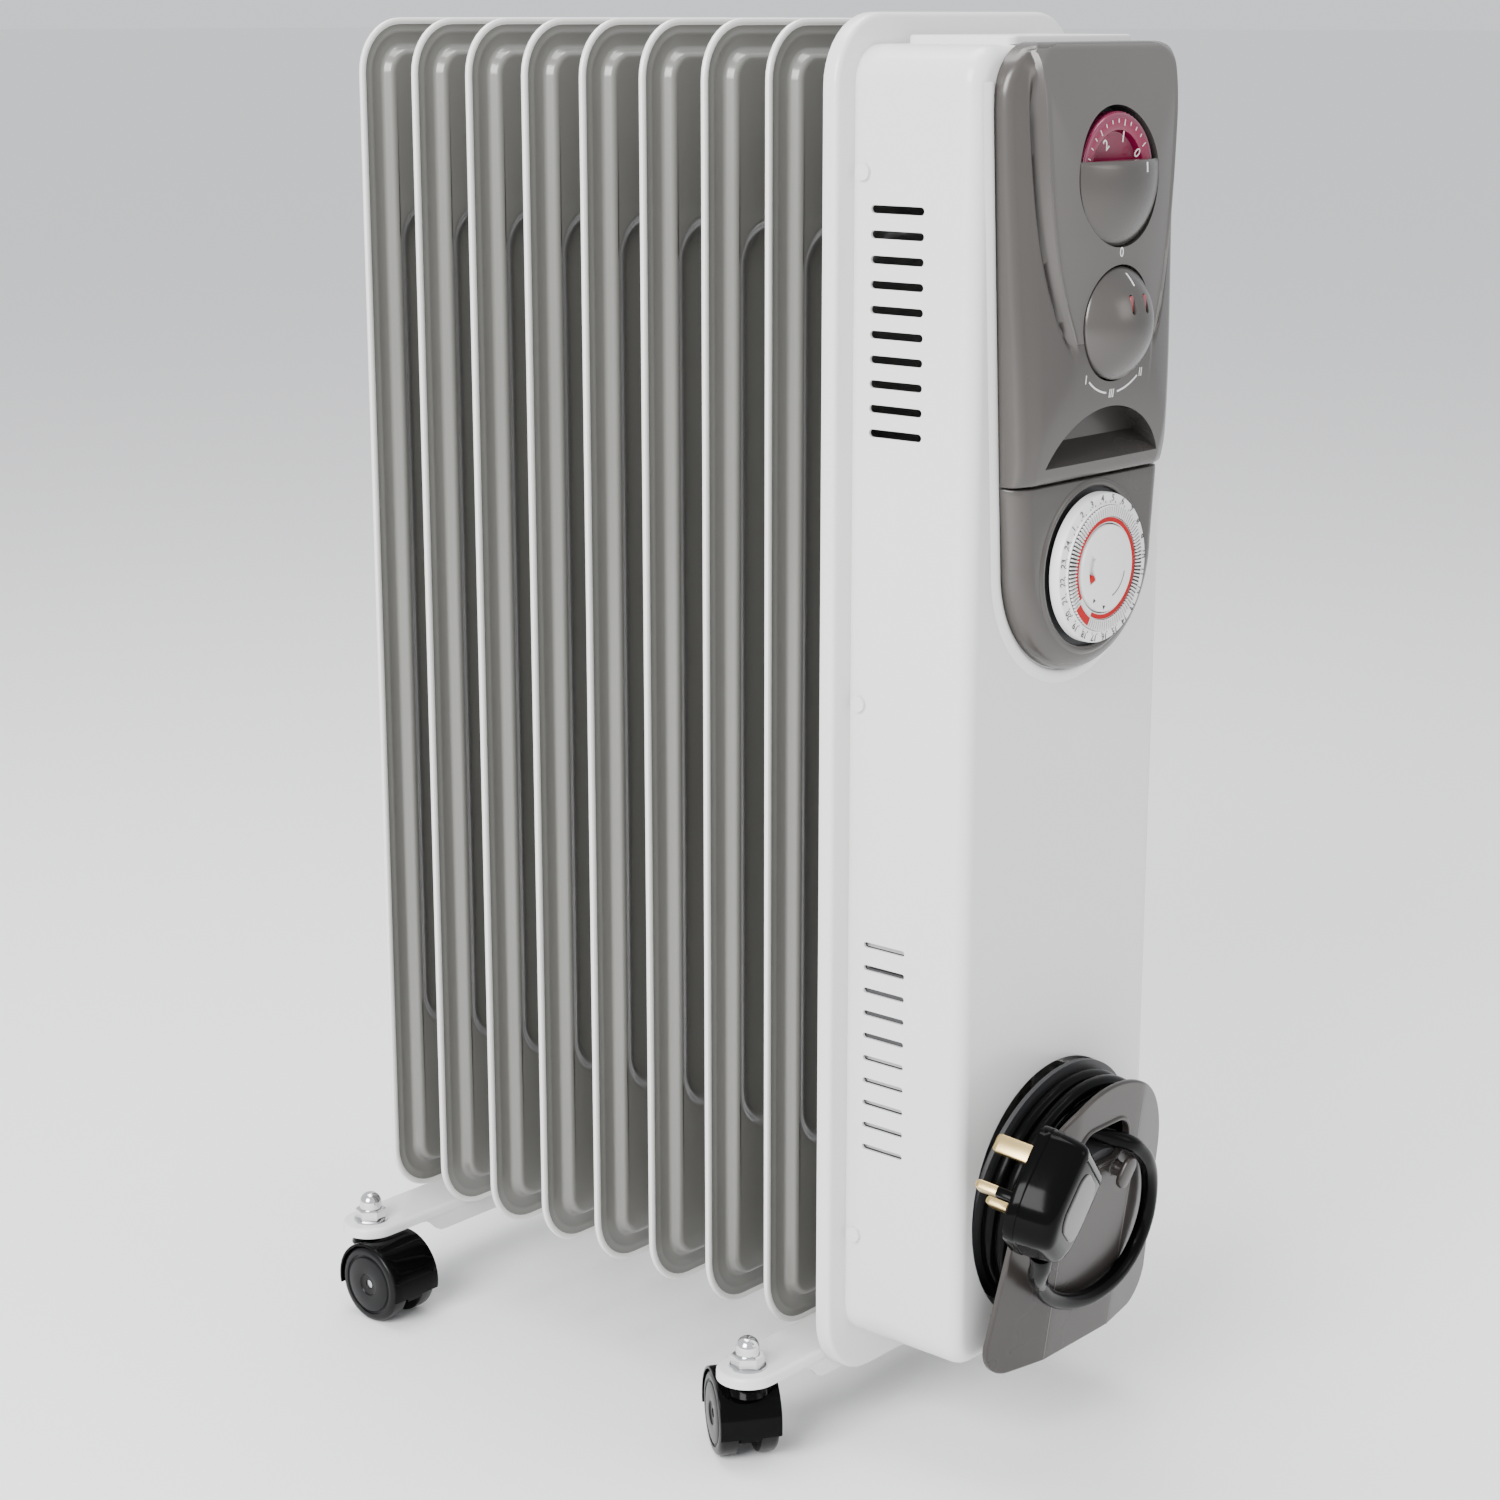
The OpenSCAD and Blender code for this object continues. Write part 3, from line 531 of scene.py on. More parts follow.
# front-facing faces of the middle field get the lighter panel colour: painted light
for p in upper.data.polygons:
    c = p.center
    x, z, y = c.x * 1000, c.z * 1000 - BASE, c.y * 1000 + Y_MID
    if z > 452 and abs(x) < crease_x(z) - 0.3 and y < -74 and p.normal.y < -0.7:
        p.material_index = 1
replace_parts(upper, "control_panel")

# ---------------------------------------------------------------- lower panel

def lower_half(z):
    if z >= 362:
        return 49.6 + (52.4 - 49.6) * (z - 362) / (394.6 - 362)
    return math.sqrt(max(0.0, 49.6 ** 2 - (362 - z) ** 2))


zl = [362 - 49.6 * math.cos(math.radians(90 * k / 40)) for k in range(41)]
zl[0] = 312.45
zl += [362 + 32.0 * k / 16 for k in range(1, 17)] + [394.3, 394.6]
verts = []
for z in zl:
    w = lower_half(z)
    for k in range(NU + 1):
        s = -1 + 2 * k / NU
        x = math.copysign(1 - (1 - abs(s)) ** 1.5, s) * w
        r = math.hypot(x, min(z - 362, 0))
        d = 49.6 - r if z < 362 else w - abs(x)
        y = -76.0
        if d < 9:
            y += 9 - math.sqrt(max(0.0, 81 - (9 - d) ** 2))
        e = 394.6 - z
        if e < 1.2:
            y += 1.2 - math.sqrt(max(0.0, 1.44 - (1.2 - e) ** 2))
        verts.append((x, min(y, -66), z))
faces = grid_faces(len(zl), NU)
backed(verts, faces, grid_rim(len(zl), NU), -65.0)
lower = obj("panel_lower", verts, faces, "panel", sharp=50)
cut(lower, [prism(circle(0, 357, 34, 128), -100, -60)], 32)
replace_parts(lower, "timer_panel")

# soft lip of the housing round both panels
path = []
for k in range(0, 31):
    a = math.radians(180 + 180 * k / 30)
    path.append((52.6 * math.cos(a), 362 + 52.6 * math.sin(a)))
path += [(52.6 + (63.2 - 52.6) * t, 362 + (545 - 362) * t) for t in (0.1, 0.25, 0.4, 0.55, 0.7, 0.85, 1.0)]
path += [(63.2, 556)]
full = [(-x, z) for x, z in path[::-1] if x > 0.01 and z >= 362 + 1] + path
verts, faces = [], []
prof = [(-2.6, 0.0), (-2.3, 0.7), (-1.2, 1.25), (0.2, 1.2), (1.6, 0.75), (3.0, 0.25), (3.6, 0.0)]
for i, (x, z) in enumerate(full):
    a, b = full[max(i - 1, 0)], full[min(i + 1, len(full) - 1)]
    t = Vector((b[0] - a[0], 0, b[1] - a[1])).normalized()
    nrm = Vector((t.z, 0, -t.x))
    for d, h in prof:
        verts.append((x + nrm.x * d, -64.9 - h, z + nrm.z * d))
m = len(prof)
for i in range(len(full) - 1):
    for k in range(m - 1):
        faces.append((i * m + k, i * m + k + 1, (i + 1) * m + k + 1, (i + 1) * m + k))
    faces.append((i * m + m - 1, i * m, (i + 1) * m, (i + 1) * m + m - 1))
faces += [tuple(range(m)), tuple(range((len(full) - 1) * m, len(full) * m))[::-1]]
obj("housing_lip", verts, faces, "white", sharp=60)

# ---------------------------------------------------------------- thermostat

D = (0, 0, 518)
dial = lathe("dial_disc", [(0, -80.2), (17, -80.2), (17.6, -80.4), (18.0, -81.2), (18.4, -83.1), (19, -83.5),
                           (24.2, -83.6), (25.0, -83.3), (25.4, -82.5), (25.4, -77.0), (25.0, -76.2),
                           (0, -76.0)], "magenta", at=D, body="thermostat")
lathe("dial_shaft", [(3, -76.4), (3, -54.4), (2.6, -54), (0, -54)], "dark", at=D, body="thermostat")
# ribs and edge ring round the rim in the darker magenta: painted shade
grips = []
for k in range(60):
    a = 2 * math.pi * k / 60
    c, s = math.cos(a), math.sin(a)
    g = []
    for r, w in ((24.9, 0.55), (25.7, 0.3)):
        g.append([(D[0] + r * c - w * s, y, D[2] + r * s + w * c) for y in (-77.5, -82.6)] +
                 [(D[0] + r * c + w * s, y, D[2] + r * s - w * c) for y in (-82.6, -77.5)])
    grips.append(loft("g", g, "magenta_painted_shade", body=None))
ring = lathe("dial_edge", [(24.95, -77.0), (25.45, -77.1), (25.5, -82.4), (24.95, -82.9)], "magenta_painted_shade", at=D,
             body=None, cap=False)
dial_rim = join(grips + [ring], "dial_rim")
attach(dial_rim, "thermostat")
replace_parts(dial, "thermostat_dial")


def on_dial(r, deg, at, y):
    """Puts a flat letter at radius r and angle deg (from +x toward +z), its head outward."""
    a = math.radians(deg)

    def f(u, v, w):
        rr = r + v
        return (at[0] + rr * math.cos(a) + u * math.sin(a), y - w, at[2] + rr * math.sin(a) - u * math.cos(a))
    return f


for k in range(7):
    text("dial_no_%d" % k, str(k), 6.4, on_dial(15.6, 34 + 46 * k, D, -83.62), "ink_white", "thermostat")
for k in range(28):
    a = math.radians(34 + 11.5 * k)
    ends = (21.2 if k % 4 else 20.2, 22.8)
    ribbon("dial_tick_%d" % k, [(r * math.cos(a), -83.6, 518 + r * math.sin(a)) for r in ends], 0.38, (0, -1, 0),
           "ink_white", "thermostat", 0.1)
# edge band in the darker magenta: painted shade on the rounded rim
lathe("dial_band", [(23.1, -83.62), (24.3, -83.72), (25.0, -83.45), (25.2, -82.9)], "magenta_painted_shade", at=D,
      cap=False, body="thermostat", sharp=60)

# fixed dome over the dial's lower half
verts = []
NR, NA = 20, 64
big = (27.6 ** 2 + 8.0 ** 2) / 16.0      # radius of the dome's sphere
top_z = 524.4
for i in range(NR + 1):
    for k in range(NA + 1):
        s = -1 + 2 * k / NA
        t = i / NR
        # rows run from the straight top edge down to the round rim
        x = 27.7 * math.sin(s * math.pi / 2)
        rim_z = 518 - math.sqrt(max(0.0, 27.75 ** 2 - x * x))
        z = top_z + (rim_z - top_z) * t
        r = math.hypot(x, z - 518)
        h = math.sqrt(max(0.0, big ** 2 - min(r, 27.6) ** 2)) - (big - 8.0)
        if t * (top_z - rim_z) < 1.2:
            q = t * (top_z - rim_z) / 1.2
            h -= 0.8 * (1 - math.sqrt(max(0.0, 1 - (1 - q) ** 2)))
        verts.append((x, -84.6 - h, z))
faces = grid_faces(NR + 1, NA)
backed(verts, faces, grid_rim(NR + 1, NA), -84.0)
cover = obj("dial_cover", verts, faces, "panel", sharp=40)
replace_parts(cover, "thermostat_cover")
ribbon("cover_pointer", [(8.5, -91.75, 523.6), (8.5, -92.0, 519.6)], 0.8, (0, -1, 0), "ink_white", "heater", 0.1)
# dark cup lining the dial's hole: painted shade in the gap round the dial
lathe("dial_well", [(28.2, -80.5), (28.2, -72), (27.4, -72), (0, -72)], "dark", at=D, cap=False)

# ---------------------------------------------------------------- selector

S = (0, 0, 459)
big = (22.6 ** 2 + 11.4 ** 2) / 22.8
prof = [(0, -97.6)]
for k in range(1, 25):
    r = 22.6 * k / 24
    prof.append((r, -86.2 - (math.sqrt(big ** 2 - r * r) - (big - 11.4))))
prof += [(22.95, -85.6), (23, -85), (23, -79.6), (22.6, -79), (0, -79)]
knob = lathe("selector_dome", prof, "panel", at=S, body="selector", seg=128)


def window(x, r, lo, hi, step):
    """Upright slot outline of half width r, its round ends centred at lo and hi."""
    return [(x + r * math.cos(math.radians(a)), (hi if a < 180 else lo) + r * math.sin(math.radians(a)))
            for a in list(range(0, 181, step)) + list(range(180, 361, step))]


cut(knob, [prism(window(x, 1.25, 464.6, 470.0, 20), -99, -93.6) for x in (-4.6, 4.6)], 30)
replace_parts(knob, "selector_knob")
lathe("selector_shaft", [(3, -79.5), (3, -54.3), (2.7, -54), (0, -54)], "dark", at=S, body="selector")
lenses = []
for x in (-4.6, 4.6):
    pts = window(x, 1.1, 464.8, 469.8, 15)
    rings = [[(px, y, pz) for px, pz in pts] for y in (-93.0, -95.2)]
    rings.append([(x + (px - x) * 0.7, -95.5, 467.3 + (pz - 467.3) * 0.9) for px, pz in pts])
    lenses.append(loft("l", rings, "lens", body=None))
lens = join(lenses, "selector_lenses")
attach(lens, "selector")
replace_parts(lens, "indicator_lenses")
# short pointer line near the top of the dome
mark = []
for k in range(7):
    z = 459 + 15.5 + 5.0 * k / 6
    mark.append((0, -86.2 - (math.sqrt(big ** 2 - (z - 459) ** 2) - (big - 11.4)) - 0.01, z))
ribbon("selector_pointer", mark, 0.8, (0, -1, 0), "ink_white", "selector", 0.12)
# dark cup lining the selector's hole: painted shade in the gap round the dome
lathe("selector_well", [(23.7, -80), (23.7, -72), (23.2, -72), (0, -72)], "dark", at=S, cap=False)


def on_face(cx, cz, lift=0.02):
    """Puts a flat letter on the bulging panel, upright."""
    def f(u, v, w):
        return (cx + u, panel_y(cx + u, cz + v) - lift - w, cz + v)
    return f


text("mark_0", "0", 5.6, on_face(0, 487.6), "ink_white", "heater", 0.1)
for nm, word, deg, r in (("i", "I", 228, 29.3), ("iii", "III", 270, 29.0), ("ii", "II", 312, 29.3)):
    a = math.radians(deg)
    text("mark_" + nm, word, 5.2, on_face(r * math.cos(a), 459 + r * math.sin(a)), "ink_white", "heater", 0.1)
for nm, a0, a1 in (("l", 233, 262), ("r", 278, 307)):
    pts = []
    for k in range(13):
        a = math.radians(a0 + (a1 - a0) * k / 12)
        x, z = 28.6 * math.cos(a), 459 + 28.6 * math.sin(a)
        pts.append((x, panel_y(x, z) - 0.01, z))
    ribbon("mark_arc_" + nm, pts, 0.75, (0, -1, 0), "ink_white", "heater", 0.1)

# ---------------------------------------------------------------- timer

T = (0, 0, 357)
ring = lathe("timer_disc", [(19.0, -76.6), (31.3, -76.6), (31.65, -77.0), (31.7, -80.9), (31.3, -81.6),
                            (30.4, -81.9), (27.4, -82.2), (27.2, -83.0), (20.4, -83.0), (19.2, -83.0),
                            (19.0, -82.7)], "dial_white", at=T, body="timer_disc", cap=False, seg=128)
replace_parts(ring, "timer_ring")
tap = []
for k in range(96):
    a = 2 * math.pi * k / 96
    c, s = math.cos(a), math.sin(a)
    g = []
    for r, w in ((21.9, 0.28), (22.1, 0.34), (26.3, 0.42), (26.5, 0.36)):
        g.append([(T[0] + r * c - q * s, y, T[2] + r * s + q * c)
                  for q, y in ((w, -82.8), (w * 0.8, -84.0), (-w * 0.8, -84.0), (-w, -82.8))])
    tap.append(loft("t", g, "tappet", body=None))
# black band under the tappets: painted shade in the gaps between them
lathe("timer_gap_shade_band", [(21.7, -82.9), (21.7, -83.08), (26.7, -83.08), (26.7, -82.9)], "ink", at=T, cap=False,
      body="timer_disc", seg=128)
taps = join(tap, "timer_fingers")
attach(taps, "timer_disc")
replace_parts(taps, "timer_tappets")


def arc_strip(name, r, a0, a1, width, y, mat, body, lift=0.15):
    n = max(6, int(abs(a1 - a0) / 3))
    pts = []
    for k in range(n + 1):
        a = math.radians(a0 + (a1 - a0) * k / n)
        pts.append((r * math.cos(a), y, 357 + r * math.sin(a)))
    return ribbon(name, pts, width, (0, -1, 0), mat, body, lift)


arc_strip("timer_red_ring", 20.5, -118, 212, 1.9, -83.0, "red", "timer_disc")
arc_strip("timer_red_arc", 24.4, 214, 238, 3.4, -84.0, "red", "timer_disc", 0.2)
for k in range(24):
    deg = 214 - 15 * k
    place = on_dial(29.4, deg, T, -82.05)
    text("timer_no_%d" % (k + 1), str((k + 19) % 24 + 1), 4.1, place, "ink", "timer_disc", 0.15)
for k in range(48):
    a = math.radians(7.5 * k)
    ribbon("timer_tick_%d" % k, [(r * math.cos(a), -82.17, 357 + r * math.sin(a)) for r in (27.45, 28.3)], 0.28,
           (0, -1, 0), "ink", "timer_disc", 0.12)
centre = lathe("timer_middle", [(0, -84.2), (17.4, -84.2), (18.2, -84.0), (18.5, -83.4), (18.5, -77),
                                (18.2, -76.5), (0, -76.5)], "dial_white", at=T, seg=128)
sl = []
for k in range(17):
    a = math.radians(149 + 55 * k / 16)
    sl.append((13.3 * math.cos(a), 357 + 13.3 * math.sin(a)))
for k in range(17):
    a = math.radians(204 - 55 * k / 16)
    sl.append((9.3 * math.cos(a), 357 + 9.3 * math.sin(a)))
cut(centre, [prism(sl, -86, -82.4)], 35)
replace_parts(centre, "timer_centre")
lathe("timer_hub", [(11.8, -76.6), (11.8, -74.0), (0, -74.0)], "dial_white", at=T, cap=False)
a = math.radians(196)
ov = lathe("override_slider", [(0, -84.5), (1.2, -84.5), (1.6, -84.2), (1.7, -83.8), (1.7, -82.4), (0, -82.4)],
           "red", at=(11.3 * math.cos(a), 0, 357 + 11.3 * math.sin(a)), body="timer_slider", seg=48)
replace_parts(ov, "timer_override")
for deg, r in ((233, 15.0), (262, 15.6)):
    a = math.radians(deg)
    c, s = math.cos(a), math.sin(a)
    tri = [((r + 1.7) * c, 357 + (r + 1.7) * s), (r * c - s, 357 + r * s + c), (r * c + s, 357 + r * s - c)]
    loft("timer_pointer_%d" % deg, [[(x, -84.18, z) for x, z in tri], [(x, -84.32, z) for x, z in tri]], "ink")
arc_strip("timer_arc", 12.6, 288, 348, 0.4, -84.2, "ink", "heater", 0.1)
# bezel and well round the disc
lathe("timer_bezel", [(33.9, -74.5), (33.9, -76.2), (34.5, -76.7), (35.6, -76.9), (36.6, -76.6), (37.2, -76.0),
                      (36.8, -75.4)], "panel", at=T, cap=False, seg=128)
# dark back of the timer's well: painted shade in the gap behind the disc
lathe("timer_well", [(33.9, -75.5), (33.8, -74.2), (0, -74.05)], "dark", at=T, cap=False)

# ---------------------------------------------------------------- top grille plate

TP = []
for i, z in ((0, 570.0), (0, 572.6), (0.3, 573.2), (0.9, 573.5), (1.4, 573.5)):
    TP.append([(x, y - 34.0, z) for x, y in rrect(43 - i, -26.5 + i, 26.5 - i, 4)])
plate = loft("top_cap", TP, "white")
tc = []
for k in range(-5, 6):
    pts = [(k * 7.4 + y, x) for x, y in stadium(21.5, 1.3, 6)]
    tc.append(loft("c", [[(x, y - 34.0, z) for x, y in pts] for z in (572.2, 576)], None, body=None))
cut(plate, tc, 30)
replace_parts(plate, "top_plate")

# ---------------------------------------------------------------- foot bars

for nm, y0, node in (("front", PITCH / 2, "foot_bar_front"), ("rear", 7.5 * PITCH, "foot_bar_rear")):
    so = []
    for i, z in ((0.0, -1.9), (0.0, 1.2), (0.15, 1.9), (0.6, 2.6), (1.3, 2.95), (2.0, 3.0), (2.6, 3.0)):
        so.append([(x, y0 + y, z) for x, y in stadium(126 - i, 14 - i)])
    si = []
    for i, z in ((2.9, 1.5), (2.0, 1.4), (1.5, 0.9), (1.5, -1.9)):
        si.append([(x, y0 + y, z) for x, y in stadium(126 - i, 14 - i)])
    n = len(so[0])
    rings = so + si
    verts = [p for r in rings for p in r]
    faces = []
    for i in range(len(rings)):
        if i == len(so) - 1:
            continue
        j = (i + 1) % len(rings)
        for k in range(n):
            k2 = (k + 1) % n
            faces.append((i * n + k, i * n + k2, j * n + k2, j * n + k))
    faces.append(tuple((len(so) - 1) * n + k for k in range(n)))
    faces.append(tuple(len(so) * n + k for k in range(n - 1, -1, -1)))
    bar = obj("bar_%s_sheet" % nm, verts, faces, "white")
    walls = []
    for side in (-1, 1):
        ya, yb = y0 + side * 14.0, y0 + side * 12.5
        prof = [(-91, -1.8), (-88, -2.4), (-84.5, -4.6), (-81, -8.2), (-78.5, -9.7), (-75, -10)]
        prof += [(-x, z) for x, z in prof[::-1]]
        walls.append(loft("w", [[(x, y, z) for x, z in prof] for y in (ya, yb)], "white", body=None))
    bar = join([bar] + walls, "bar_%s_sheet" % nm)
    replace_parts(bar, node)

# ---------------------------------------------------------------- nuts, bolts, stems


def hexagon(r, rot=0):
    angles = [math.radians(60 * k + rot) for k in range(6)]
    return [(r * math.cos(a), r * math.sin(a)) for a in angles]


nuts = []
for sx in (-1, 1):
    for y0 in (PITCH / 2, 7.5 * PITCH):
        at = (sx * 112, y0)
        nuts.append(lathe("n", [(0, 3.02), (8.2, 3.02), (8.4, 3.3), (8.2, 3.9), (7.0, 4.1), (0, 4.1)], "chrome",
                          at=(at[0], at[1], 0), axis="z", body=None, seg=64))
        hx = []
        for r, z in ((6.9, 4.0), (7.5, 4.5), (7.5, 8.6), (6.9, 9.2), (5.6, 9.3)):
            hx.append([(at[0] + x, at[1] + y, z) for x, y in hexagon(r, 12)])
        nuts.append(loft("n", hx, "chrome", body=None, sharp=20))
        dome = [(5.4, 9.0), (5.4, 11.6)]
        for k in range(1, 11):
            a = math.radians(9 * k)
            dome.append((5.4 * math.cos(a), 12.0 + 5.35 * math.sin(a)))
        nuts.append(lathe("n", dome, "chrome", at=(at[0], at[1], 0), axis="z", body=None, seg=64))
nut = join(nuts, "cap_nuts")
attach(nut, "heater")
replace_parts(nut, "acorn_nuts")

# ---------------------------------------------------------------- casters

CAST = [(-1, PITCH / 2, -36.0), (1, PITCH / 2, 36.0), (-1, 7.5 * PITCH, 180.0), (1, 7.5 * PITCH, 180.0)]
TR, AZ = 12.0, 19.0


def caster_frame(i):
    sx, y0, rot = CAST[i - 1]
    return Matrix.Translation(P(sx * 112, y0, -BASE)) @ Matrix.Rotation(math.radians(rot), 4, "Z")


def local(v):
    return [Vector((x / 1000, y / 1000, z / 1000)) for x, y, z in v]


def local_loft(name, rings, mat, cap=True, sharp=35):
    n = len(rings[0])
    verts = local([p for r in rings for p in r])
    faces = []
    for i in range(len(rings) - 1):
        for k in range(n):
            k2 = (k + 1) % n
            faces.append((i * n + k, i * n + k2, (i + 1) * n + k2, (i + 1) * n + k))
    if cap:
        faces.append(tuple(range(n - 1, -1, -1)))
        faces.append(tuple((len(rings) - 1) * n + k for k in range(n)))
    return obj(name, verts, faces, mat, body=None, raw=True, sharp=sharp)


def local_lathe(name, prof, mat, cy, cz, seg=96, sharp=35):
    rings = [[(h, y, z) for y, z in circle(cy, cz, r, seg)] for r, h in prof]
    return local_loft(name, rings, mat, True, sharp)


for i in range(1, 5):
    m = caster_frame(i)
    wheels = []
    for s in (-1, 1):
        prof = [(6, 5.0), (18.4, 5.0), (18.9, 5.3), (19.0, 5.9), (19.0, 11.6), (18.8, 12.4), (18.2, 13.1),
                (17.2, 13.6), (16.2, 13.8), (15.2, 13.7), (14.9, 13.1), (14.4, 12.9), (13.9, 13.1), (13.6, 13.6),
                (12.8, 13.9), (6.5, 14.0), (5.6, 13.9), (5.2, 13.4), (4.6, 13.2), (2.2, 13.2), (2.06, 13.0),
                (2.06, 12.0)]
        wheels.append(local_lathe("w", [(r, s * h) for r, h in prof], "tyre", TR, AZ, 96, 32))
    w = join(wheels, "caster_%d_rollers" % i)
    move(w, m)
    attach(w, "caster_%d_roll" % i)
    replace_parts(w, "caster_%d_wheels" % i)
    # hood: an arch with a rolled edge, a web and the boss round the stem
    rings = []
    half = [(14.0, 20.3, 19.7), (13.8, 20.7, 19.5), (13.2, 20.9, 19.5), (9, 20.9, 19.5)]
    for x, ro, ri in [(-x, ro, ri) for x, ro, ri in half] + half[::-1]:
        ring = []
        for k in range(41):
            a = math.radians(-12 + 204 * k / 40)
            ring.append((x, TR + ro * math.cos(a), AZ + ro * math.sin(a)))
        for k in range(41):
            a = math.radians(192 - 204 * k / 40)
            ring.append((x, TR + ri * math.cos(a), AZ + ri * math.sin(a)))
        rings.append(ring)
    parts = [local_loft("h", rings, "black", True, 40)]
    web = []
    for k in range(33):
        a = math.radians(-20 + 220 * k / 32)
        web.append((TR + 19.8 * math.cos(a), AZ + 19.8 * math.sin(a)))
    web += [(TR - 13, AZ - 8), (TR - 8, AZ - 12.5), (TR, AZ - 14), (TR + 8, AZ - 12.5), (TR + 13, AZ - 8)]
    parts.append(local_loft("h", [[(x, y, z) for y, z in web] for x in (-4.6, 4.6)], "black"))
    seg = 48
    prof = [(4.6, 24), (4.7, 43.0), (4.5, 43.6), (4.0, 43.9), (3.1, 43.9), (3.1, 40)]
    parts.append(local_loft("h", [[(x, y, z) for x, y in circle(0, 0, r, seg)] for r, z in prof], "black"))
    # shoulder that leads from the arch into the boss
    sh = []
    for z, r in ((34.5, 10.5), (37.5, 8.6), (39.3, 7.0), (40.6, 5.6), (41.6, 4.9), (42.2, 4.7)):
        sh.append([(min(r, 9.2) * x, r * y, z) for x, y in circle(0, 0, 1, seg)])
    parts.append(local_loft("h", sh, "black"))
    h = join(parts, "caster_%d_cover" % i)
    move(h, m)
    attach(h, "caster_%d" % i)
    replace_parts(h, "caster_%d_hood" % i)

# ---------------------------------------------------------------- cord plate

LEAN = math.radians(7.9)
CL, SL = math.cos(LEAN), math.sin(LEAN)


def on_plate(x, up, out):
    return (x, -74.5 - SL * up - CL * out, 17 + CL * up - SL * out)


def plate_half(up):
    if up < 4:
        return 45 + math.sqrt(max(0.0, 256 - (4 - up) ** 2))
    if up < 66:
        return 61 - 7.5 * (up - 4) / 62.0
    return math.sqrt(max(0.0, 53.9 ** 2 - (up - 62) ** 2))


def plate_out(x, soft=0.35):
    """Three facets with a softened fold between them."""
    a = abs(x)
    f = -0.2 + 6.7 * (61 - a) / 36.5
    k = 6.5 - f
    return 6.5 - (math.sqrt(k * k + soft * soft) + k) / 2


ups = [-12 + 16 * (1 - math.cos(math.radians(90 * k / 20))) for k in range(21)]
ups[0] = -11.98
ups += [4 + 62 * k / 24 for k in range(1, 25)]
ups += [62 + 53.9 * math.sin(math.radians(4.3 + (89.2 - 4.3) * k / 40)) for k in range(1, 41)]
NP = 96
verts = []
for face in (0, 1):
    for up in ups:
        w = plate_half(up)
        for k in range(NP + 1):
            s = -1 + 2 * k / NP
            x = math.copysign(1 - (1 - abs(s)) ** 1.4, s) * w
            o = plate_out(x)
            if up < 4 and abs(x) > 45:
                d = 16 - math.hypot(abs(x) - 45, 4 - up)
            elif up > 62:
                d = 53.9 - math.hypot(x, up - 62)
            else:
                d = min(w - abs(x), up + 12)
            q = 0.0
            if d < 1.2:
                q = 1.2 - math.sqrt(max(0.0, 1.44 - (1.2 - d) ** 2))
            verts.append(on_plate(x, up, o - q if face == 0 else o - 2.4 + q * 0.3))
half_n = len(ups) * (NP + 1)
faces = grid_faces(len(ups), NP) + grid_faces(len(ups), NP, half_n)
rim = grid_rim(len(ups), NP)
for j in range(len(rim)):
    j2 = (j + 1) % len(rim)
    faces.append((rim[j], rim[j2], half_n + rim[j2], half_n + rim[j]))
plate = obj("store_plate", verts, faces, "plate", sharp=40)
hole = [(x - 3, 88 + u) for x, u in stadium(18, 9, 16)]
cut(plate, [loft("c", [[on_plate(x, u, o) for x, u in hole] for o in (-6, 14)], None, body=None)], 8)
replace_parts(plate, "cord_plate")
# thin strips of the lighter panel colour along the plate's folds: a painted highlight
for x, span in ((-24.5, 70), (24.5, 115)):
    ribbon("store_fold_painted_highlight", [on_plate(x, -11.5 + span * k / 20, plate_out(x) - 0.02) for k in range(21)], 0.5,
           (0, -CL, -SL), "panel_painted_light", "heater", 0.1)
# rolled edge of the cord hole
verts, faces = [], []
for x, u in hole:
    cx = -3 + (9 if x > -3 else -9)
    dx, du = (x - cx) / 9.0, (u - 88) / 9.0
    for e, h in ((0.2, -1.6), (0.15, 0.5), (0.9, 0.95), (1.9, 0.5), (2.1, -0.3)):
        xx, uu = x + dx * e, u + du * e
        verts.append(on_plate(xx, uu, plate_out(xx) + h))
for i in range(len(hole)):
    j = (i + 1) % len(hole)
    for k in range(4):
        faces.append((i * 5 + k, j * 5 + k, j * 5 + k + 1, i * 5 + k + 1))
obj("hole_edge", verts, faces, "plate", sharp=60)

# clip: a post with a long flat head
clip = []
ca, sa = math.cos(math.radians(60)), math.sin(math.radians(60))
for i, o in ((1.2, 11.5), (0.3, 11.8), (0, 12.6), (0.0, 13.4), (0.4, 14.1), (1.3, 14.5)):
    clip.append([on_plate(9 + x * ca - y * sa, 73.5 + x * sa + y * ca, o) for x, y in stadium(7.4 - i, 4.6 - i)])
head = loft("clip_head", clip, "plate")
loft("clip_post", [[on_plate(9 + r * x, 73.5 + r * y, o) for x, y in circle(0, 0, 1, 32)]
                   for r, o in ((4.4, 6.3), (3.6, 7.0), (3.4, 8.0), (3.4, 12))], "plate")
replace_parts(head, "cord_clip")

# ---------------------------------------------------------------- cord


def catmull(pts, step=2.5):
    out = []
    for i in range(len(pts) - 1):
        a, b, c, d = (Vector(pts[min(max(j, 0), len(pts) - 1)]) for j in range(i - 1, i + 3))
        n = max(2, int((c - b).length / step))
        for k in range(n):
            t = k / n
            out.append(0.5 * ((2 * b) + (c - a) * t + (2 * a - 5 * b + 4 * c - d) * t * t +
                              (3 * b - a - 3 * c + d) * t ** 3))
    out.append(Vector(pts[-1]))
    return out


